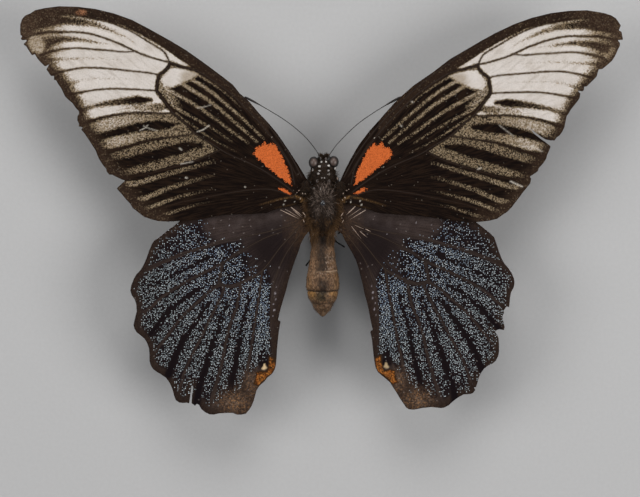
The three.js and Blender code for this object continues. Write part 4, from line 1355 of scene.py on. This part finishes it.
class ThoraxOperator(bpy.types.Operator):
    """Adds the thorax with its collar and its fur"""

    bl_idname = "butterfly.thorax"
    bl_label = "Thorax"

    def execute(self, context):
        settings = context.scene.butterfly
        random = np.random.default_rng(SEED)
        skin = skin_material()
        fur_material()
        body = ball(THORAX_HALF, THORAX_CENTRE, 64, 40)
        collar = ball(COLLAR_HALF, COLLAR_CENTRE, 48, 28)
        points, faces, _ = join_parts([(body[0], body[1], {}), (collar[0], collar[1], {})])
        make_piece("thorax_skin", points, faces, skin, stands_for=("thorax",))
        count = settings.thorax_hairs
        width = settings.hair_radius / MM
        coats = [self.base_coat(random, int(count * BASE_SHARE), width), self.pale_strands(random, width),
                 self.joint_brushes(random, int(count * BRUSH_SHARE), width)]
        fur_piece("thorax_fur", coats, random, 0.3)
        return {"FINISHED"}

    def base_coat(self, random, count, width):
        """Short dark hair in locks that lie every way, golden brown on the flanks and at the rear."""
        roots, out = on_ball(THORAX_HALF, THORAX_CENTRE, int(count * 0.72), random)
        more, more_out = on_ball(COLLAR_HALF, COLLAR_CENTRE, int(count * 0.28), random)
        roots, out = np.vstack([roots, more]), np.vstack([out, more_out])
        clear = np.hypot(roots[:, 0], roots[:, 1]) > 0.4
        roots, out = roots[clear], out[clear]
        x, y = roots[:, 0], roots[:, 1]
        count = len(roots)
        lock = 0.5 + 0.5 * clumps(roots, 0.2, 2.2)[:, 0]
        beside = np.sign(x) * smoothstep(1.0, 2.6, np.abs(x))
        comb = np.column_stack([0.5 * beside, np.full(count, -0.6), np.full(count, 0.1)])
        comb = comb + 0.6 * clumps(roots, 0.9, 0.6) + 0.5 * clumps(roots, 0.25, 1.1)
        length = random.uniform(0.35, 0.95, count) * (0.45 + lock)
        grey = (smoothstep(-2.6, -0.5, y) * smoothstep(4.8, 3.4, y) * smoothstep(0.35, 0.85, out[:, 2])
                * smoothstep(2.7, 1.2, np.abs(x)) * lock ** 2 * random.uniform(0.1, 0.7, count))
        flank = smoothstep(2.2, 3.4, np.abs(x)) * smoothstep(4.4, 2.5, y)
        rear = smoothstep(-2.2, -3.8, y) * smoothstep(0.1, 0.9, np.abs(x))
        tone = lock * random.uniform(0.2, 1.0, count) * np.clip(0.4 + 0.7 * flank + 1.1 * rear, 0, 1.2)
        return roots, out, comb, length, random.uniform(0.7, 1.4, count) * width, grey, tone

    def pale_strands(self, random, width):
        """Coarse grey strands that spread from the pin over the front of the back, and two paler tufts
        just behind the pin."""
        spread, tuft = 190, 55
        x = np.concatenate([np.clip(random.normal(0, 1.15, spread), -2.5, 2.5),
                            random.normal(-0.9, 0.5, tuft), random.normal(1.2, 0.45, tuft)])
        y = np.concatenate([random.uniform(-0.3, 4.2, spread), random.normal(-1.2, 0.65, 2 * tuft)])
        count = len(x)
        roots = np.column_stack([x, y, body_top(x, y) + random.uniform(0.05, 0.4, count)])
        behind = np.arange(count) >= spread
        away = np.column_stack([x, np.where(behind, -1.5, y - 0.6), np.zeros(count)])
        comb = away / np.linalg.norm(away, axis=1)[:, None] + random.normal(0, 0.3, (count, 3))
        length = np.where(behind, random.uniform(0.5, 0.9, count), random.uniform(0.5, 1.2, count))
        out = np.tile([0.0, 0.0, 0.15], (count, 1))
        grey = np.where(behind, random.uniform(0.25, 0.8, count), random.uniform(0.25, 0.85, count))
        return roots, out, comb, length, random.uniform(1.0, 1.7, count) * width, grey, np.zeros(count)

    def joint_brushes(self, random, count, width):
        """Long golden-brown hair that spreads from the thorax over the roots of the four wings and the
        front of the abdomen."""
        side = random.choice([-1.0, 1.0], count)
        down = random.uniform(0, 1, count) ** 0.8
        inwards = np.abs(random.normal(0, 0.5, count)) * (0.4 + down)
        roots = np.column_stack([side * (4.0 - 1.9 * down - inwards),
                                 1.7 - 7.6 * down, 17.7 - 0.9 * down + random.normal(0, 0.2, count)])
        comb = np.column_stack([side * (0.9 - 0.8 * down), -0.3 - 0.9 * down, np.full(count, -0.05)])
        comb = comb + random.normal(0, 0.2, (count, 3)) + 0.25 * clumps(roots, 0.25, 0.3)
        out = np.tile([0.0, 0.0, 0.25], (count, 1))
        length = random.uniform(0.7, 2.2, count) * smoothstep(-0.25, 0.5, down)
        tone = random.uniform(0.3, 1.0, count)
        return roots, out, comb, length, random.uniform(0.6, 1.2, count) * width, np.zeros(count), tone


class HeadOperator(bpy.types.Operator):
    """Adds the head, palps and their fur"""

    bl_idname = "butterfly.head"
    bl_label = "Head and palps"

    def execute(self, context):
        settings = context.scene.butterfly
        random = np.random.default_rng(SEED + 1)
        skin = bpy.data.materials["dried_body_skin"]
        points, faces, _ = ball(HEAD_HALF, HEAD_CENTRE, 40, 28)
        make_piece("head_skin", points, faces, skin, stands_for=("head",))
        for name, centre in PALPS.items():
            points, faces, _ = ball(PALP_HALF, centre, 24, 18)
            make_piece(name + "_skin", points, faces, skin, stands_for=(name,))
        roots, out = on_ball(HEAD_HALF, HEAD_CENTRE, int(settings.head_hairs * HEAD_SHARE), random)
        for centre in PALPS.values():
            more, more_out = on_ball(PALP_HALF, centre, int(settings.head_hairs * PALP_SHARE), random)
            roots, out = np.vstack([roots, more]), np.vstack([out, more_out])
        for centre in EYES.values():
            clear = (((roots - np.array(centre)) / (np.array(EYE_HALF) + 0.05)) ** 2).sum(1) > 1
            roots, out = roots[clear], out[clear]
        count = len(roots)
        forward = smoothstep(9.4, 10.6, roots[:, 1])
        comb = np.column_stack([np.zeros(count), 0.8 * forward - 0.4, 0.2 * forward])
        comb = comb + 0.5 * clumps(roots, 0.3, 1.4)
        lock = 0.5 + 0.5 * clumps(roots, 0.16, 0.8)[:, 1]
        length = random.uniform(0.25, 0.65, count) * (0.5 + 0.8 * lock)
        radius = random.uniform(0.6, 1.1, count) * settings.hair_radius / MM
        tone = lock * random.uniform(0.0, 0.5, count)
        coat = (roots, out, comb, length, radius, np.zeros(count), tone)
        fur_piece("head_fur", [coat], random)
        return {"FINISHED"}


class EyesOperator(bpy.types.Operator):
    """Adds the two compound eyes"""

    bl_idname = "butterfly.eyes"
    bl_label = "Eyes"

    def execute(self, context):
        material = eye_material()
        for name, centre in EYES.items():
            points, faces, unit = ball(EYE_HALF, centre, 64, 48)
            # How far each point faces up, for the eye's painted highlight
            make_piece(name + "_dome", points, faces, material, {"up": unit[:, 2]},
                       stands_for=(name,))
        return {"FINISHED"}


class ScaleSpotsOperator(bpy.types.Operator):
    """Adds the white scale tufts on the head, collar and thorax"""

    bl_idname = "butterfly.scale_spots"
    bl_label = "White scale tufts"

    def execute(self, context):
        random = np.random.default_rng(SEED + 2)
        flakes = 60
        x, y, wide, tall, white = np.repeat(np.array(SCALE_SPOTS), flakes, axis=0).T
        count = len(x)
        angle = random.uniform(0, 2 * np.pi, count)
        reach = np.sqrt(random.uniform(0, 1, count))
        roots = np.column_stack([x + reach * wide * np.cos(angle), y + reach * tall * np.sin(angle),
                                 body_top(x, y) + 0.2])
        out = np.tile([0.0, 0.0, 1.0], (count, 1))
        comb = np.tile([0.0, -0.35, 0.0], (count, 1))
        length = random.uniform(0.2, 0.4, count)
        radius = random.uniform(0.035, 0.06, count)
        points, faces, run = hairs(roots, out, comb, length, radius, random, 0.15)
        values = {"run": run, "white": np.repeat(white, HAIR_POINTS)}
        make_piece("white_scale_tufts", points, faces, tuft_material(), values)
        return {"FINISHED"}


class AbdomenOperator(bpy.types.Operator):
    """Adds the ringed abdomen and its short hair"""

    bl_idname = "butterfly.abdomen"
    bl_label = "Abdomen"

    def execute(self, context):
        settings = context.scene.butterfly
        random = np.random.default_rng(SEED + 3)
        profile = smooth_line(ABDOMEN_PROFILE, 10)
        profile[:, 1] = np.maximum(profile[:, 1], 0)
        profile = profile[np.concatenate([[True], np.diff(profile[:, 0]) > 1e-4])]
        behind, width = profile.T
        ring = ring_marks(behind, 0.2)
        bulge = np.min([np.abs(behind - place) for place, _ in ABDOMEN_RINGS], axis=0)
        width = width * (0.97 - 0.035 * ring + 0.02 * np.minimum(bulge, 1.0))
        around = 96
        angle = np.arange(around) / around * 2 * np.pi
        x = width[1:-1, None] * np.sin(angle)
        z = width[1:-1, None] * np.cos(angle) * ABDOMEN_FLATTENING
        y = -behind[1:-1, None] + 0 * angle
        points = np.stack([x, y, z + ABDOMEN_LEVEL], -1).reshape(-1, 3)
        points = np.vstack([points, [0, -behind[0], ABDOMEN_LEVEL], [0, -behind[-1], ABDOMEN_LEVEL]])
        across = points[:, 0]
        back = -points[:, 1] + 0.35 * (across / 3.6) ** 2
        middle = smoothstep(2.1, 0.3, np.abs(across + 0.1 + 0.25 * np.sin(1.3 * back)))
        dark = np.maximum(0.95 * smoothstep(15.3, 14.3, back), smoothstep(14.7, 17.4, back))
        dark *= smoothstep(19.6, 19.1, back)
        gold = (smoothstep(19.0, 19.6, back) * smoothstep(21.8, 20.2, back)
                * smoothstep(1.0, 2.2, np.abs(across)))
        # Painted highlights: whitish flecks behind the pale band, and glints on the right of the front
        # segments
        painted_glints = 0.45 * middle * smoothstep(14.9, 15.2, back) * smoothstep(17.0, 15.3, back)
        glint = smoothstep(0.2, 1.0, across) * smoothstep(3.0, 1.6, across) * smoothstep(9, 13, back)
        values = {
            "middle": middle * dark,
            "olive": middle * smoothstep(19.1, 19.5, back) * smoothstep(22.0, 20.8, back),
            # Painted shade down the abdomen's right side
            "painted_shade": smoothstep(0.6, 2.8, across),
            "ring": ring_marks(back, 0.16) * (np.abs(back - 14.9) > 1),
            "edge": (np.exp(-((back - 14.85) / 0.12) ** 2)
                     * np.clip(0.45 + 0.3 * np.sign(across - 0.7), 0, 1)),
            # Painted shade on the underside, with the tip's own darker brown
            "low": np.maximum(smoothstep(ABDOMEN_LEVEL, ABDOMEN_LEVEL - 2.4, points[:, 2]),
                              0.65 * smoothstep(20.3, 22.0, back)),
            "gold": gold + 0.3 * smoothstep(15, 16, back) * smoothstep(2.0, 3.2, np.abs(across)),
            # Painted highlight flecks and glints
            "painted_glints": np.maximum(painted_glints, 0.4 * glint * smoothstep(14.8, 14.0, back)),
            "front": smoothstep(10.4, 7.6, back),
        }
        faces = ring_faces(len(width) - 2, around, inward=True)
        make_piece("abdomen_body", points, faces, abdomen_material(), values,
                   stands_for=("abdomen",))
        count = settings.abdomen_hairs
        back = 6.8 + 17.0 * random.uniform(0, 1, count) ** 2.2
        turn_angle = random.uniform(0, 2 * np.pi, count)
        wide = np.interp(back, behind, width)
        out = np.column_stack([np.sin(turn_angle), np.zeros(count), np.cos(turn_angle)])
        roots = out * wide[:, None] * np.array([1, 1, ABDOMEN_FLATTENING])
        roots += np.column_stack([np.zeros(count), -back, np.full(count, ABDOMEN_LEVEL)])
        comb = np.tile([0.0, -1.0, 0.0], (count, 1))
        front = smoothstep(9.5, 7.0, back)
        length = random.uniform(0.25, 0.5, count) * (1 + 2.0 * front)
        radius = random.uniform(0.5, 0.9, count) * settings.hair_radius / MM
        tone = random.uniform(0.3, 1.0, count) * smoothstep(0.2, 1.2, np.abs(roots[:, 0]))
        coat = (roots, out * 0.35, comb, length, radius, np.zeros(count), tone)
        fur_piece("abdomen_hair", [coat], random, 0.12)
        return {"FINISHED"}


class LimbsOperator(bpy.types.Operator):
    """Adds the legs, feelers and rolled drinking tube"""

    bl_idname = "butterfly.limbs"
    bl_label = "Legs and feelers"

    def execute(self, context):
        material = limb_material()
        for name, line in self.leg_lines().items():
            path = smooth_line(line, 16)
            run = np.linspace(0, 1, len(path))
            thigh = 0.2 * np.exp(-((run - 0.18) / 0.22) ** 2)
            shin = 0.06 * np.exp(-((run - 0.5) / 0.15) ** 2)
            joints = 0.018 * np.sin(run * 60) * (run > 0.66)
            points, faces, _ = tube(path, 0.18 + thigh + shin + joints, 10)
            make_piece(name + "_limb", points, faces, material, stands_for=(name,))
        for name, line in ANTENNAE.items():
            path = smooth_line(line, 40)
            run = np.linspace(0, 1, len(path))
            club = 0.17 * smoothstep(0.8, 0.93, run) * smoothstep(1.02, 0.97, run)
            base = 0.12 * smoothstep(0.03, 0.0, run)
            rings = 0.012 * np.sin(run * 300)
            points, faces, _ = tube(path, 0.085 + club + base + rings, 8)
            make_piece(name + "_feeler", points, faces, material, stands_for=(name,))
        run = np.linspace(0, 1, 120)
        reach = 0.85 - 0.55 * run
        angle = run * 4 * np.pi
        coil = np.column_stack([0 * run, reach * np.sin(angle), reach * np.cos(angle)]) + COIL_CENTRE
        points, faces, _ = tube(coil, 0.15 - 0.08 * run, 8, (1, 0, 0))
        make_piece("proboscis_coil", points, faces, material, stands_for=("proboscis",))
        return {"FINISHED"}

    def leg_lines(self):
        """The route of each leg by its node's name."""
        mirror = np.array([-1.0, 1.0, 1.0])
        return {
            "foreleg_right": LEGS["foreleg"],
            "foreleg_left": np.array(LEGS["foreleg"]) * mirror,
            "midleg_right": LEGS["midleg"],
            "midleg_left": np.array(LEGS["midleg"]) * mirror,
            "hindleg_right": LEGS["hindleg_right"],
            "hindleg_left": LEGS["hindleg_left"],
        }


class JointsOperator(bpy.types.Operator):
    """Adds the covers and pale strands at the wing joints"""

    bl_idname = "butterfly.joints"
    bl_label = "Wing joints"

    def execute(self, context):
        random = np.random.default_rng(SEED + 4)
        settings = context.scene.butterfly
        skin = bpy.data.materials["dried_body_skin"]
        for name, centre in TEGULAE.items():
            points, faces, _ = ball(TEGULA_HALF, centre, 32, 20)
            make_piece(name + "_cover", points, faces, skin, stands_for=(name,))
            count = 1500
            roots, out = on_ball(TEGULA_HALF, centre, count, random)
            comb = np.tile([0.25 * np.sign(centre[0]), -0.8, 0.0], (count, 1))
            comb = comb + 0.6 * clumps(roots, 0.3, 0.9)
            lock = 0.5 + 0.5 * clumps(roots, 0.18, 1.7)[:, 0]
            length = random.uniform(0.3, 0.9, count) * (0.5 + 0.8 * lock)
            radius = random.uniform(0.6, 1.2, count) * settings.hair_radius / MM
            tone = lock * random.uniform(0, 0.35, count)
            coat = (roots, out * 0.6, comb, length, radius, np.zeros(count), tone)
            fur_piece(name + "_fur", [coat], random)
        parts = []
        for start, end, radius in JOINT_STRANDS:
            t = np.linspace(0, 1, 18)
            flat = np.array(start)[None] * (1 - t[:, None]) + np.array(end)[None] * t[:, None]
            level = 17.95 + 0.35 * np.sin(t * np.pi)
            path = np.column_stack([flat, level])
            wide = radius * (0.35 + 0.65 * np.sin(np.clip(t * 1.1 + 0.1, 0, 1) * np.pi) ** 0.6)
            points, faces, run = tube(path, wide, 8, flatten=0.6)
            parts.append((points, faces, {"run": run}))
        for x, y, long, wide, turn in JOINT_PLATES:
            half = (PLATE_TRIM[0] * long, PLATE_TRIM[1] * wide, 0.09)
            points, faces, unit = ball(half, (0, 0, 0), 16, 10)
            points = turned(points, turn) + np.array([x, y, 18.75 if y > 1.2 else 18.2])
            parts.append((points, faces, {"run": 0.86 + 0.1 * unit[:, 0]}))
        points, faces, values = join_parts(parts)
        make_piece("wing_joint_strands", points, faces, strand_material(), values)
        return {"FINISHED"}


class PinOperator(bpy.types.Operator):
    """Adds the insect pin's shank and head"""

    bl_idname = "butterfly.pin"
    bl_label = "Pin"

    def execute(self, context):
        material = pin_material()
        low, high = (np.array(corner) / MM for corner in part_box("pin_shank"))
        radius = high[0]
        point = 1.6
        head_low, head_high = (np.array(corner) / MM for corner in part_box("pin_head"))
        profile = [(0, low[2]), (0.03, low[2] + 0.05), (radius * 0.6, low[2] + point * 0.5),
                   (radius, low[2] + point), (radius, high[2]), (radius, head_low[2] + 0.1),
                   (0, head_low[2] + 0.12)]
        points, faces = lathe(profile, 32)
        make_piece("pin_shank_steel", points, faces, material, stands_for=("pin_shank",))
        wide, tall = head_high[0], head_high[2] - head_low[2]
        angle = np.linspace(-0.5, 0.5, 17) * np.pi
        level = head_low[2] + tall * (0.5 + 0.5 * np.sin(angle))
        rounded = np.column_stack([wide * np.cos(angle) ** 0.85, level])
        rounded[0, 0] = 0
        rounded[-1, 0] = 0
        points, faces = lathe(rounded, 40)
        make_piece("pin_head_knob", points, faces, material, stands_for=("pin_head",))
        return {"FINISHED"}


class StageOperator(bpy.types.Operator):
    """Adds the pale ground, the soft studio light and the camera"""

    bl_idname = "butterfly.stage"
    bl_label = "Stage"

    def execute(self, context):
        scene = context.scene
        reach = 900.0
        points = np.array([(-reach, -reach, 0), (reach, -reach, 0), (reach, reach, 0), (-reach, reach, 0)])
        mesh = bpy.data.meshes.new("ground_card")
        mesh.from_pydata((points * MM).tolist(), [], [(0, 1, 2, 3)])
        mesh.materials.append(card_material())
        card = bpy.data.objects.new("ground_card", mesh)
        scene.collection.objects.link(card)
        for name, place, size, power in LAMPS:
            lamp = bpy.data.lights.new(name, "AREA")
            lamp.shape = "DISK"
            lamp.size = size
            lamp.energy = power
            lamp.color = (1.0, 0.99, 0.97)
            light = bpy.data.objects.new(name, lamp)
            light.location = place
            aim = np.array(LAMP_AIM) - np.array(place)
            flat = math.hypot(aim[0], aim[1])
            light.rotation_euler = (math.atan2(flat, -aim[2]), 0, math.atan2(-aim[0], aim[1]))
            scene.collection.objects.link(light)
        world = bpy.data.worlds.new("soft_room")
        world.use_nodes = True
        background = world.node_tree.nodes["Background"]
        background.inputs["Color"].default_value = (0.9, 0.92, 0.95, 1)
        background.inputs["Strength"].default_value = 0.19
        scene.world = world
        scene.view_settings.view_transform = "Standard"
        camera = bpy.data.objects.new("camera", bpy.data.cameras.new("camera"))
        camera.data.lens = VIEW_LENS
        camera.data.sensor_width = SENSOR_WIDTH
        camera.location = (VIEW_CENTRE[0] * MM, VIEW_CENTRE[1] * MM, VIEW_HEIGHT * MM)
        scene.collection.objects.link(camera)
        scene.camera = camera
        return {"FINISHED"}


OPERATORS = (
    WingsOperator, VeinsOperator, ThoraxOperator, HeadOperator, EyesOperator, ScaleSpotsOperator,
    AbdomenOperator, LimbsOperator, JointsOperator, PinOperator, StageOperator,
)


class SpecimenPanel(bpy.types.Panel):
    """The specimen's settings and pieces in the sidebar"""

    bl_idname = "VIEW3D_PT_butterfly"
    bl_label = "Pinned Butterfly"
    bl_space_type = "VIEW_3D"
    bl_region_type = "UI"
    bl_category = "Specimen"

    def draw(self, context):
        for operator in OPERATORS:
            self.layout.operator(operator.bl_idname)
        for name in ButterflySettings.__annotations__:
            self.layout.prop(context.scene.butterfly, name)


CLASSES = (ButterflySettings, *OPERATORS, SpecimenPanel)


def register():
    """Registers the classes and the scene's settings."""
    for cls in CLASSES:
        bpy.utils.register_class(cls)
    bpy.types.Scene.butterfly = bpy.props.PointerProperty(type=ButterflySettings)


def unregister():
    """Takes the settings and the classes away again."""
    del bpy.types.Scene.butterfly
    for cls in reversed(CLASSES):
        bpy.utils.unregister_class(cls)


def main():
    """Builds the whole specimen."""
    register()
    for operator in OPERATORS:
        group, name = operator.bl_idname.split(".")
        getattr(getattr(bpy.ops, group), name)()


if __name__ == "__main__":
    main()
